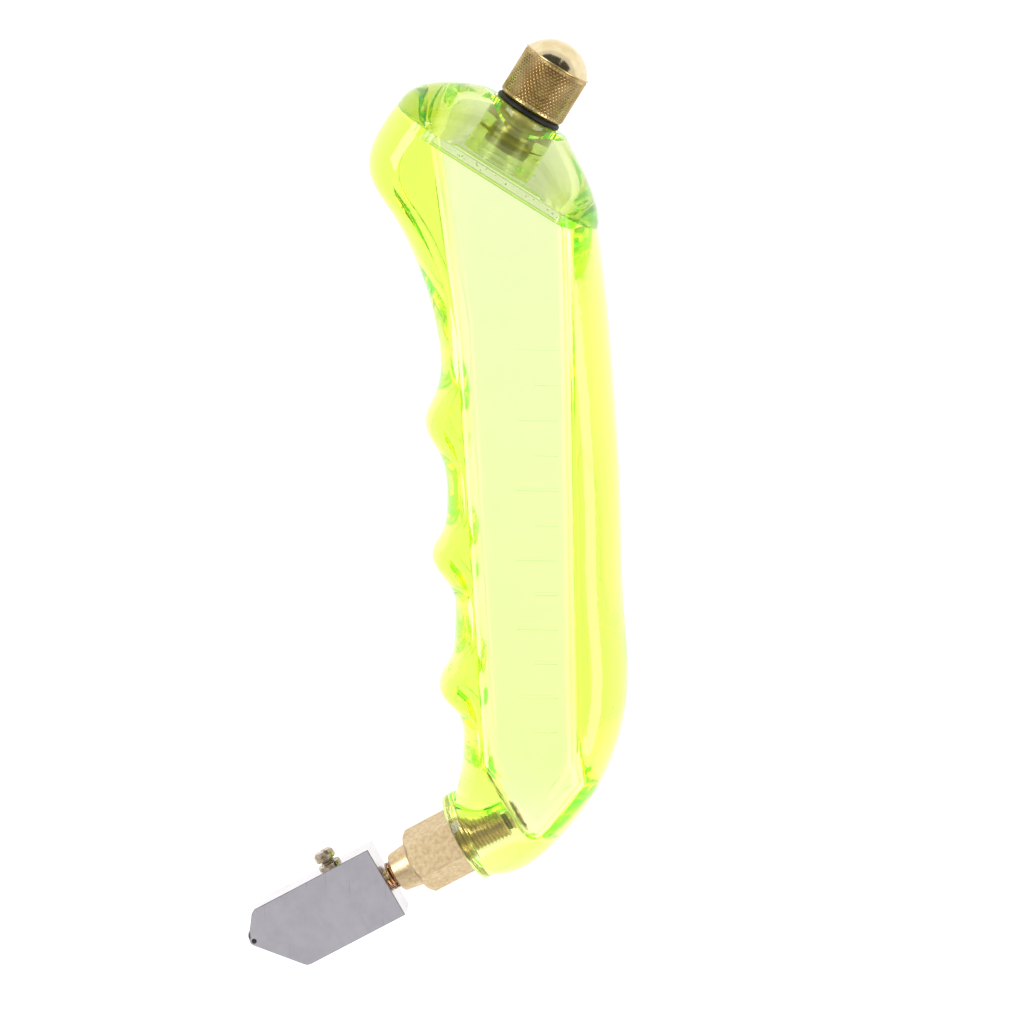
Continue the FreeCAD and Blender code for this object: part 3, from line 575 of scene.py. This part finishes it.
class Bench:
    """The modelling bench: one piece at a time is made, shaped and taken off it."""

    @staticmethod
    def clear() -> None:
        """Leaves edit mode and deselects everything."""
        if bpy.context.object and bpy.context.object.mode != "OBJECT":
            bpy.ops.object.mode_set(mode="OBJECT")
        bpy.ops.object.select_all(action="DESELECT")

    @staticmethod
    def choose(piece: bpy.types.Object) -> None:
        """Selects one piece alone and makes it active.

        Args:
            piece: The piece.
        """
        Bench.clear()
        piece.select_set(True)
        bpy.context.view_layer.objects.active = piece

    @staticmethod
    def edit(piece: bpy.types.Object, pick: Pick) -> None:
        """Opens a piece in edit mode with nothing selected.

        Args:
            piece: The piece to open.
            pick: What is to be picked.
        """
        Bench.choose(piece)
        bpy.ops.object.mode_set(mode="EDIT")
        bpy.ops.mesh.select_mode(type=pick.value)
        bpy.ops.mesh.select_all(action="DESELECT")

    @staticmethod
    def select(piece: bpy.types.Object, pick: Pick, test: Callable[[Vector], bool]) -> None:
        """Selects the vertices or faces of an open piece that pass a test.

        Args:
            piece: The piece, open in edit mode.
            pick: What is picked, either vertices or faces.
            test: Given a vertex or a face's middle, says if it is selected.
        """
        bpy.ops.mesh.select_mode(type=pick.value)
        bpy.ops.mesh.select_all(action="DESELECT")
        mesh = bmesh.from_edit_mesh(piece.data)
        if pick is Pick.VERTEX:
            found = [vertex for vertex in mesh.verts if test(vertex.co)]
        else:
            found = [face for face in mesh.faces if test(face.calc_center_median())]
        for element in found:
            element.select_set(True)
        mesh.select_flush_mode()
        bmesh.update_edit_mesh(piece.data)

    @staticmethod
    def lathe(name: str, profile: Sequence[Tuple[float, float]], sides: int) -> bpy.types.Object:
        """Draws a closed turned shape upwards from a disc, ring by ring.

        Args:
            name: The piece's name.
            profile: Radius and height of each ring in metres, from the bottom up; the last is the apex.
            sides: Corners in each ring.

        Returns:
            The piece, in its local frame with Z as the axis.
        """
        Bench.clear()
        radius, height = profile[0]
        bpy.ops.mesh.primitive_circle_add(vertices=sides, radius=radius, fill_type="NGON",
                                          location=(0, 0, height))
        piece = bpy.context.object
        piece.name = name
        bpy.ops.object.transform_apply(location=True, rotation=False, scale=False)
        Bench.edit(piece, Pick.FACE)
        bpy.ops.mesh.select_all(action="SELECT")
        for next_radius, next_height in profile[1:]:
            bpy.ops.mesh.extrude_region_move(
                TRANSFORM_OT_translate={"value": (0, 0, next_height - height)})
            share = next_radius / radius
            bpy.ops.transform.resize(value=(share, share, 1.0), center_override=(0, 0, next_height))
            radius, height = next_radius, next_height
        bpy.ops.mesh.poke()
        bpy.ops.mesh.select_all(action="SELECT")
        bpy.ops.mesh.normals_make_consistent(inside=False)
        bpy.ops.object.mode_set(mode="OBJECT")
        return piece

    @staticmethod
    def apply(piece: bpy.types.Object, kind: str, **settings: object) -> None:
        """Adds a modifier and applies it.

        Args:
            piece: The piece it works on.
            kind: The modifier's type.
            settings: Its properties.
        """
        Bench.choose(piece)
        modifier = piece.modifiers.new(kind.lower(), kind)
        for name, value in settings.items():
            setattr(modifier, name, value)
        bpy.ops.object.modifier_apply(modifier=modifier.name)

    @staticmethod
    def place(piece: bpy.types.Object, where: Matrix) -> None:
        """Moves a piece's mesh from its local frame to the part's frame.

        Args:
            piece: The piece.
            where: The matrix of its local frame.
        """
        piece.data.transform(where)
        piece.data.update()

    @staticmethod
    def smooth(piece: bpy.types.Object, degrees: float) -> None:
        """Shades a piece smooth, apart from its sharper edges.

        Args:
            piece: The piece.
            degrees: The angle past which an edge stays sharp.
        """
        Bench.choose(piece)
        bpy.ops.object.shade_smooth_by_angle(angle=math.radians(degrees))
        Bench.clear()

    @staticmethod
    def join(pieces: Sequence[bpy.types.Object], name: str) -> bpy.types.Object:
        """Joins pieces into the first one.

        Args:
            pieces: What to join.
            name: The name of the result.

        Returns:
            The joined piece.
        """
        Bench.clear()
        for piece in pieces:
            piece.select_set(True)
        bpy.context.view_layer.objects.active = pieces[0]
        bpy.ops.object.join()
        pieces[0].name = name
        return pieces[0]


def dress(piece: bpy.types.Object, finish: Finish) -> None:
    """Gives a piece one finish.

    Args:
        piece: A new piece or a CAD node's object.
        finish: The finish.
    """
    piece.data.materials.clear()
    piece.data.materials.append(finish.material())


def dress_nodes(finish: Finish, *nodes: str) -> None:
    """Gives CAD nodes a finish and reports each.

    Args:
        finish: The finish.
        nodes: The nodes' names.
    """
    for node in nodes:
        dress(frame["nodes"][node], finish)
        LOG.info("%s keeps its CAD shape, in %s", node, finish.name)


# -------------------- sub-assemblies
@dataclass
class Grip:
    """The moulded grip, its cover and the cemented seam between them.

    Args:
        bubbles: How many bubbles the cement trapped.
        bubble_mm: The smallest and largest bubble radius.
        lift_mm: How far up the filler's axis from a bond face the lowest and highest bubbles are.
        round_from_mm: The radius from which a bubble is drawn with more faces.
        seed: Start of the random places.
    """

    bubbles: int = 70
    bubble_mm: Tuple[float, float] = (0.06, 0.17)
    lift_mm: Tuple[float, float] = (0.3, 1.1)
    round_from_mm: float = 0.12
    seed: int = 7

    def build(self) -> List[bpy.types.Object]:
        """Dresses the mouldings and fills the seam with bubbles.

        Returns:
            The new pieces.
        """
        # Both mouldings carry the painted green glow of LimeAcrylic.
        dress_nodes(LimeAcrylic(), "handle_body")
        dress_nodes(LimeAcrylic(name="lime_acrylic_cover_gloss", tint="#ECF0EC",
                                absorption="#F2F88A", density_per_m=190.0, glow_per_m=2.0),
                    "top_cover")
        dress_nodes(ClearCement(), "seam_bond")
        return [self.seam_bubbles()]

    def seam_bubbles(self) -> bpy.types.Object:
        """Scatters small bubbles through the cement, inside the bond's own solid.

        Returns:
            One piece with all the bubbles.
        """
        random.seed(self.seed)
        bond = frame["nodes"]["seam_bond"].data
        _, axis = joint("cap_rise")
        faces = [polygon for polygon in bond.polygons if polygon.normal.dot(axis) > FACING]
        weights = [polygon.area for polygon in faces]
        copies = []
        for polygon in random.choices(faces, weights, k=self.bubbles):
            radius = random.uniform(*self.bubble_mm) * MM
            corners = [bond.vertices[index].co for index in polygon.vertices]
            a, b = sorted((random.random(), random.random()))
            spot = corners[0] * a + corners[1] * (b - a) + corners[2] * (1.0 - b)
            spot += axis * random.uniform(*self.lift_mm) * MM
            fineness = 2 if radius > self.round_from_mm * MM else 1
            Bench.clear()
            bpy.ops.mesh.primitive_ico_sphere_add(subdivisions=fineness, radius=radius, location=spot)
            bubble = bpy.context.object
            bpy.ops.object.transform_apply(location=True, rotation=False, scale=False)
            copies.append(bubble)
        piece = Bench.join(copies, "seam_bubbles")
        bpy.ops.object.origin_set(type="ORIGIN_CURSOR")
        Bench.smooth(piece, 80.0)
        dress(piece, TrappedAir())
        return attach(piece, "handle")


@dataclass
class Filler:
    """The knurled brass filler cap and its O-ring.

    Args:
        around: Diamonds round the barrel.
        rows: Diamonds along the barrel.
        knurl_mm: Depth of the knurl.
        blunting: Share of a diamond's side that its blunt top takes off, in per cent.
        plain_mm: Height of the plain bands below and above the knurl.
        barrel_mm: Radius of the barrel, over the knurl's crests.
        dome_mm: Height of the dome.
        dome_rings: How many rings of faces the dome has.
        ledge_mm: Width of the ledge between the barrel and the dome.
        pitch_mm: Pitch of the shank's thread.
        thread_mm: Depth of the thread.
        thread_turns: How many turns of thread there are.
        flank: How steep the thread's flanks are, in depths to a pitch.
        crest: Height of the flanks' meeting point, in depths; past 1 it leaves a flat crest.
        shank_mm: Radius of the shank, over the thread's crests.
        inset_mm: How far the dome stays under the CAD cap's top, since it is rounded more finely.
    """

    around: int = 50
    rows: int = 9
    knurl_mm: float = 0.26
    blunting: float = 22.0
    plain_mm: Tuple[float, float] = (0.5, 0.35)
    barrel_mm: float = 5.99
    dome_mm: float = 3.6
    dome_rings: int = 14
    ledge_mm: float = 0.25
    pitch_mm: float = 1.25
    thread_mm: float = 0.3
    thread_turns: float = 2.6
    flank: float = 4.2
    crest: float = 1.9
    shank_mm: float = 4.13
    inset_mm: float = 0.01

    def build(self) -> List[bpy.types.Object]:
        """Builds the cap and dresses the ring.

        Returns:
            The new pieces.
        """
        dress_nodes(Rubber(), "filler_cap_o_ring")
        place, axis = joint("cap_unscrew")
        local = LocalFrame(place, axis, UP)
        foot, top = reach("filler_cap", place, axis)
        apex = top - self.inset_mm * MM
        seat = reach("filler_cap_o_ring", place, axis)[1] + 0.01 * MM
        barrel = self.barrel(seat, apex)
        shank = self.shank(foot, seat)
        cap = Bench.join([barrel, shank], "knurled_filler_cap")
        Bench.place(cap, local.matrix())
        Bench.smooth(cap, 28.0)
        self.dress_cap(cap, local, seat, apex - self.dome_mm * MM - HAIR)
        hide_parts("filler_cap")
        return [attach(cap, "cap")]

    @staticmethod
    def dress_cap(cap: bpy.types.Object, local: LocalFrame, seat: float, shoulder: float) -> None:
        """Gives the barrel, the dome and the shank their own finishes.

        Args:
            cap: The cap.
            local: Its frame.
            seat: Height of the barrel's underside, which the shank is below.
            shoulder: Height of the barrel's top, which the dome is above.
        """
        turn = local.turn()
        dress(cap, TurnedMetal(name="brass_knurled", turn=turn, colour="#C4AC7C", shade="#A48A5B"))
        polished = TurnedMetal(name="brass_polished", turn=turn, colour="#E3D3AC", shade="#D3BF92",
                               roughness=(0.1, 0.18), ring_height_mm=0.0006)
        turned = TurnedMetal(name="brass_turned_dull", turn=turn, roughness=(0.4, 0.55))
        cap.data.materials.append(polished.material())
        cap.data.materials.append(turned.material())
        for polygon in cap.data.polygons:
            height = (polygon.center - local.origin).dot(local.axis)
            polygon.material_index = 1 if height > shoulder else 2 if height < seat else 0

    def barrel(self, seat: float, apex: float) -> bpy.types.Object:
        """Makes the knurled barrel with its chamfer, rim and polished dome.

        Args:
            seat: Height of its underside.
            apex: Height of the dome's top.

        Returns:
            The piece, in the cap's local frame.
        """
        radius = self.barrel_mm * MM
        shoulder = apex - self.dome_mm * MM
        below, above = self.plain_mm
        low, high = seat + below * MM, shoulder - above * MM
        steps = 2 * self.rows
        profile = [(radius - 0.85 * MM, seat), (radius - 0.5 * MM, seat + 0.06 * MM)]
        profile += [(radius - 0.18 * MM, low + (high - low) * step / steps) for step in range(steps + 1)]
        foot = radius - self.ledge_mm * MM
        profile += [(radius - 0.04 * MM, high + 0.1 * MM), (radius, high + 0.16 * MM),
                    (radius, shoulder - 0.08 * MM), (radius - 0.08 * MM, shoulder),
                    (foot, shoulder + 0.01 * MM)]
        rise = apex - shoulder
        ball = (foot * foot + rise * rise) / (2.0 * rise)
        top_angle = math.asin(foot / ball)
        for step in range(1, self.dome_rings):
            angle = top_angle * (1.0 - step / self.dome_rings)
            profile.append((ball * math.sin(angle), apex - ball + ball * math.cos(angle)))
        piece = Bench.lathe("barrel", profile, 2 * self.around)
        self.cut_knurl(piece, low, (high - low) / steps, steps)
        return piece

    def cut_knurl(self, piece: bpy.types.Object, low: float, step: float, steps: int) -> None:
        """Raises every second corner of the barrel's rings, so that each diamond is a blunt pyramid.

        Args:
            piece: The barrel.
            low: Height of the first knurled ring.
            step: Height between rings.
            steps: How many steps there are.
        """
        crest = self.barrel_mm * MM
        for vertex in piece.data.vertices:
            row = round((vertex.co.z - low) / step)
            if not 0 < row < steps or abs(vertex.co.z - low - row * step) > HAIR:
                continue
            column = round(math.atan2(vertex.co.y, vertex.co.x) / math.pi * self.around)
            level = crest if (row + column) % 2 else crest - self.knurl_mm * MM
            share = level / Vector((vertex.co.x, vertex.co.y)).length
            vertex.co.x *= share
            vertex.co.y *= share
        top = low + step * steps
        Bench.edit(piece, Pick.FACE)
        Bench.select(piece, Pick.FACE, lambda middle: low < middle.z < top)
        bpy.ops.mesh.quads_convert_to_tris(quad_method="SHORTEST_DIAGONAL")
        Bench.select(piece, Pick.VERTEX, lambda point: low < point.z < top
                     and Vector((point.x, point.y)).length > crest - HAIR)
        bpy.ops.mesh.bevel(offset_type="PERCENT", offset_pct=self.blunting, affect="VERTICES")
        bpy.ops.object.mode_set(mode="OBJECT")

    def shank(self, foot: float, seat: float) -> bpy.types.Object:
        """Makes the threaded shank, with its helix and the plain neck above it.

        Args:
            foot: Height of its lower end.
            seat: Height of the barrel's underside.

        Returns:
            The piece, in the cap's local frame.
        """
        pitch = self.pitch_mm * MM
        step = pitch / 8.0
        thread_end = foot + self.thread_turns * pitch
        root = (self.shank_mm - self.thread_mm) * MM
        count = int((thread_end - foot) / step)
        profile = [(root - 0.4 * MM, foot)]
        profile += [(root, foot + step * (index + 0.5)) for index in range(count)]
        plain = self.shank_mm * MM
        profile += [(root, thread_end + 0.2 * MM), (plain, thread_end + 0.6 * MM),
                    (plain, seat + 0.2 * MM), (0.5 * MM, seat + 0.21 * MM)]
        piece = Bench.lathe("shank", profile, 64)
        for vertex in piece.data.vertices:
            height = vertex.co.z - foot
            if not 0.25 * step < height < thread_end - foot:
                continue
            phase = (height / pitch - math.atan2(vertex.co.y, vertex.co.x) / math.tau) % 1.0
            ridge = max(0.0, min(1.0, self.crest - self.flank * abs(phase - 0.5)))
            fade = min(1.0, height / pitch, (thread_end - foot - height) / pitch)
            radius = root + self.thread_mm * MM * ridge * fade
            share = radius / Vector((vertex.co.x, vertex.co.y)).length
            vertex.co.x *= share
            vertex.co.y *= share
        return piece


@dataclass
class Stem:
    """The brass connector, the plunger with its valve, and the coiled return spring.

    Args:
        wire_mm: Radius of the spring's wire.
        coil_mm: Radius of the coil, to the wire's middle.
        pitch_mm: Distance between turns.
        wire_sides: Corners in the wire's section.
        turn_sides: Corners in one turn.
        keep: Share of its length that the spring keeps when the plunger is in; not used.
    """

    wire_mm: float = 0.25
    coil_mm: float = 2.25
    pitch_mm: float = 0.66
    wire_sides: int = 12
    turn_sides: int = 32
    keep: float = 0.855

    def build(self) -> List[bpy.types.Object]:
        """Dresses the connector and the valve, and coils the spring.

        Returns:
            The new pieces.
        """
        local = stem_frame()
        turn = local.turn()
        dress_nodes(TurnedMetal(name="brass_hexagon_bar", turn=turn, roughness=(0.3, 0.34),
                                ring_height_mm=0.0004, stain_mm=0.7), "connector")
        dress_nodes(TurnedMetal(name="brass_rod_drawn", turn=turn, ring_mm=0.3),
                    "plunger_stem", "valve_disc")
        dress_nodes(Rubber(name="nitrile_rubber_oiled", colour="#85743F", bloom="#9C8B55"), "valve_o_ring")
        dress_nodes(self.spring_finish("spring_steel_blued", turn, "#8E7A66", "#5C4B3C"), "valve_clip")
        return [self.spring(local, turn)]

    @staticmethod
    def spring_finish(name: str, turn: Tuple[float, float, float], colour: str, shade: str) -> Finish:
        """Chooses the finish of drawn spring wire, with draw marks along it.

        Args:
            name: The material's name.
            turn: The stem frame's turn.
            colour: The clean wire.
            shade: The tarnished wire.

        Returns:
            The finish.
        """
        return TurnedMetal(name=name, slot="spring_bronze", colour=colour, shade=shade, turn=turn,
                           roughness=(0.18, 0.3), ring_mm=0.1, ring_height_mm=0.002, stain_mm=1.0)

    def spring(self, local: LocalFrame, turn: Tuple[float, float, float]) -> bpy.types.Object:
        """Coils the return spring, from a wire's round section swept up a screw.

        Args:
            local: The stem's frame, with its origin on the head's end face.
            turn: The turn of that frame, for the finish.

        Returns:
            The spring.
        """
        low, high = reach("return_spring", local.origin, local.axis)
        rise = high - low - 2.0 * self.wire_mm * MM
        turns = round(rise / (self.pitch_mm * MM))
        Bench.clear()
        bpy.ops.mesh.primitive_circle_add(vertices=self.wire_sides, radius=self.wire_mm * MM,
                                          fill_type="NOTHING",
                                          rotation=(math.pi / 2, 0, 0), location=(self.coil_mm * MM, 0, 0))
        piece = bpy.context.object
        piece.name = "coiled_return_spring"
        bpy.ops.object.transform_apply(location=True, rotation=True, scale=False)
        Bench.apply(piece, "SCREW", axis="Z", angle=math.tau, iterations=turns, screw_offset=rise / turns,
                    steps=self.turn_sides, render_steps=self.turn_sides, use_merge_vertices=False)
        Bench.edit(piece, Pick.EDGE)
        bpy.ops.mesh.select_non_manifold(extend=False)
        bpy.ops.mesh.edge_face_add()
        bpy.ops.mesh.select_all(action="SELECT")
        bpy.ops.mesh.normals_make_consistent(inside=False)
        bpy.ops.object.mode_set(mode="OBJECT")
        Bench.place(piece, local.matrix() @ Matrix.Translation((0, 0, low + self.wire_mm * MM)))
        Bench.smooth(piece, 50.0)
        dress(piece, self.spring_finish("spring_bronze_drawn", turn, "#B4875E", "#6A472E"))
        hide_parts("return_spring")
        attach(piece, "handle")
        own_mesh(piece)
        return piece


@dataclass
class Head:
    """The ground steel head with its wheel, pin, wick and lock screw.

    Args:
        broken: Lowest and highest upward lean of a face on the broken edges, as a cosine; those faces get
            the darker steel, painted shade.
    """

    broken: Tuple[float, float] = (0.6, 0.8)

    def build(self) -> List[bpy.types.Object]:
        """Dresses the head's parts.

        Returns:
            The new pieces.
        """
        local = stem_frame()
        turn = local.turn()
        along = (0.0, 0.0, -math.atan2(local.axis.y, local.axis.x))
        dress_nodes(GroundSteel(turn=along), "cutter_head")
        # Painted highlight: the narrow sides get a lighter steel that stands in for the bright reflection
        # they show.
        bright = TurnedMetal(name="steel_sides_painted_highlight", slot="ground_steel", colour="#E6E3E5",
                             shade="#DAD6D9", turn=turn, roughness=(0.24, 0.32), ring_mm=0.3, stain_mm=7.0)
        # Painted shade: the broken edges get a darker steel, chosen by their lean.
        edge = TurnedMetal(name="steel_edges_painted_shade", slot="ground_steel", colour="#8F898E",
                           shade="#6F696E", turn=turn)
        self.paint_head_highlight_and_shade(bright, edge)
        dress_nodes(Cotton(), "head_wick")
        dress_nodes(TurnedMetal(name="carbide_wheel_ground", slot="sintered_carbide", colour="#6A6A70",
                                shade="#4B4B50", ring_mm=0.1), "cutting_wheel")
        dress_nodes(TurnedMetal(name="steel_pin_ground", slot="plated_steel", colour="#5E5B5A",
                                shade="#3C3A3A", ring_mm=0.1, stain_mm=0.5), "wheel_axle")
        dress_nodes(TurnedMetal(name="steel_screw_nickel_plated", slot="plated_steel", colour="#C2B49C",
                                shade="#8A7C69", turn=turn, roughness=(0.1, 0.2), stain_mm=0.8),
                    "head_screw", "lock_washer")
        return []

    def paint_head_highlight_and_shade(self, finish: Finish, edge: Finish) -> None:
        """Gives the head's milled sides a lighter steel, a painted highlight, and its broken edges a darker
        steel, painted shade, by how far each face leans from up.

        Args:
            finish: The lighter finish of the narrow sides, a painted highlight.
            edge: The darker finish of the broken edges between them and the ground faces, painted shade.
        """
        data = frame["nodes"]["cutter_head"].data
        data.materials.append(finish.material())
        data.materials.append(edge.material())
        # Faces square to up keep the ground steel; steep sides take the painted highlight, leaning edges
        # the painted shade.
        for polygon in data.polygons:
            lean = abs(polygon.normal.z)
            painted_shade_face = self.broken[0] < lean < self.broken[1]
            polygon.material_index = 0 if lean > FACING else 2 if painted_shade_face else 1


# -------------------- studio
@dataclass
class Studio:
    """A pale, evenly lit table with soft light all round.

    Args:
        floor_m: Side of the floor.
        ambient: Brightness of the room.
        ceiling: Brightness of the grey panel overhead.
        flag: Brightness of the dark cards that the cap's dome reflects.
        table: Brightness of the table.
        table_gap_mm: How far the table is under the tool.
        bounces: How many times light may turn in the plastic.
        view: Direction from the target to the camera.
        distance_m: From the target to the camera.
        target_m: What the camera looks at.
        lens_mm: Focal length on a 36 mm sensor.
    """

    floor_m: float = 6.0
    ambient: float = 0.95
    ceiling: float = 0.5
    flag: float = 0.04
    table: float = 0.9
    table_gap_mm: float = 0.4
    bounces: int = 64
    view: Tuple[float, float, float] = (0.08, 0.20, 1.0)
    distance_m: float = 0.602
    target_m: Tuple[float, float, float] = (-0.00172, -0.0021, 0.011)
    lens_mm: float = 123.05

    def build(self) -> None:
        """Sets the floor, the room, the lamps and the camera."""
        self.floor()
        self.room()
        self.lamp("key_softbox", place=(-0.7, 0.5, 0.9), size=0.7, power=9.0)
        self.lamp("fill_softbox", place=(0.8, -0.3, 0.7), size=0.6, power=5.0)
        self.panel("overhead_panel", size=1.0, place=(0.0, 0.0, 0.9), brightness=self.ceiling)
        for name, place in (("left_flag", (-0.1, 0.92, 0.44)), ("middle_flag", (0.3, 0.82, 0.48)),
                            ("right_flag", (0.66, 0.52, 0.44))):
            self.panel(name, size=0.46, place=place, brightness=self.flag)
        self.camera()
        bpy.context.scene.view_settings.view_transform = "Standard"
        bpy.context.scene.view_settings.look = "None"
        self.light_paths()

    def light_paths(self) -> None:
        """Lets light turn back inside the plastic many times, as it does in a thick clear moulding."""
        paths = bpy.context.scene.cycles
        paths.max_bounces = self.bounces
        paths.transmission_bounces = self.bounces
        paths.glossy_bounces = self.bounces

    def floor(self) -> None:
        """Lays a pale table that is lit from within, as milk glass over a lamp is."""
        Bench.clear()
        height = CAD_BOX[0].z - self.table_gap_mm * MM
        bpy.ops.mesh.primitive_plane_add(size=self.floor_m, location=(0, 0, height))
        floor = bpy.context.object
        floor.name = "floor"
        floor.data.materials.append(self.lit_surface("milk_glass_table", 0.3, self.table))

    @staticmethod
    def lit_surface(name: str, base: float, brightness: float) -> bpy.types.Material:
        """Makes a dull surface that also gives off an even light.

        Args:
            name: The material's name.
            base: The surface's own grey.
            brightness: How bright it shines.

        Returns:
            The material.
        """
        material = bpy.data.materials.new(name)
        material.use_nodes = True
        shader = material.node_tree.nodes["Principled BSDF"]
        shader.inputs["Base Color"].default_value = grey(base)
        shader.inputs["Roughness"].default_value = 0.9
        shader.inputs["Specular IOR Level"].default_value = 0.0
        shader.inputs["Emission Color"].default_value = grey(1.0)
        shader.inputs["Emission Strength"].default_value = brightness
        return material

    @staticmethod
    def panel(name: str, size: float, place: Tuple[float, float, float], brightness: float) -> None:
        """Hangs a flat panel that faces the tool, for the metal to reflect.

        Args:
            name: The panel's name.
            size: Its side.
            place: Its middle.
            brightness: How bright its face is.
        """
        Bench.clear()
        facing = (-Vector(place)).to_track_quat("Z", "Y").to_euler()
        bpy.ops.mesh.primitive_plane_add(size=size, location=place, rotation=facing)
        card = bpy.context.object
        card.name = name
        card.data.materials.append(Studio.lit_surface(name, 0.02, brightness))

    def room(self) -> None:
        """Lights the room evenly."""
        world = bpy.data.worlds.new("soft_room")
        world.use_nodes = True
        background = world.node_tree.nodes["Background"]
        background.inputs["Color"].default_value = grey(1.0)
        background.inputs["Strength"].default_value = self.ambient
        bpy.context.scene.world = world

    @staticmethod
    def lamp(name: str, place: Tuple[float, float, float], size: float, power: float) -> None:
        """Hangs a square softbox that faces the tool.

        Args:
            name: The lamp's name.
            place: Where it hangs.
            size: Its side.
            power: Its power in watts.
        """
        data = bpy.data.lights.new(name, "AREA")
        data.size = size
        data.energy = power
        lamp = bpy.data.objects.new(name, data)
        lamp.location = place
        lamp.rotation_euler = (-Vector(place)).to_track_quat("-Z", "Y").to_euler()
        bpy.context.scene.collection.objects.link(lamp)

    def camera(self) -> None:
        """Sets the camera almost straight above the tool, with its upright along +Y."""
        data = bpy.data.cameras.new("camera")
        data.sensor_width = 36.0
        data.lens = self.lens_mm
        data.clip_start = 0.01
        data.clip_end = 20.0
        camera = bpy.data.objects.new("camera", data)
        back = Vector(self.view).normalized()
        up = (Vector((0, 1, 0)) - back * back.y).normalized()
        turn = Matrix((up.cross(back), up, back)).transposed().to_4x4()
        camera.matrix_world = Matrix.Translation(Vector(self.target_m) + back * self.distance_m) @ turn
        bpy.context.scene.collection.objects.link(camera)
        bpy.context.scene.camera = camera


def main() -> None:
    """Builds and dresses every sub-assembly in order, and reports each new piece."""
    logging.basicConfig(level=logging.INFO, format="%(message)s")
    for assembly in (Grip(), Filler(), Stem(), Head()):
        for piece in assembly.build():
            LOG.info("%s: %s, %d faces", type(assembly).__name__, piece.name, len(piece.data.polygons))
    Studio().build()


if __name__ == "__main__":
    main()
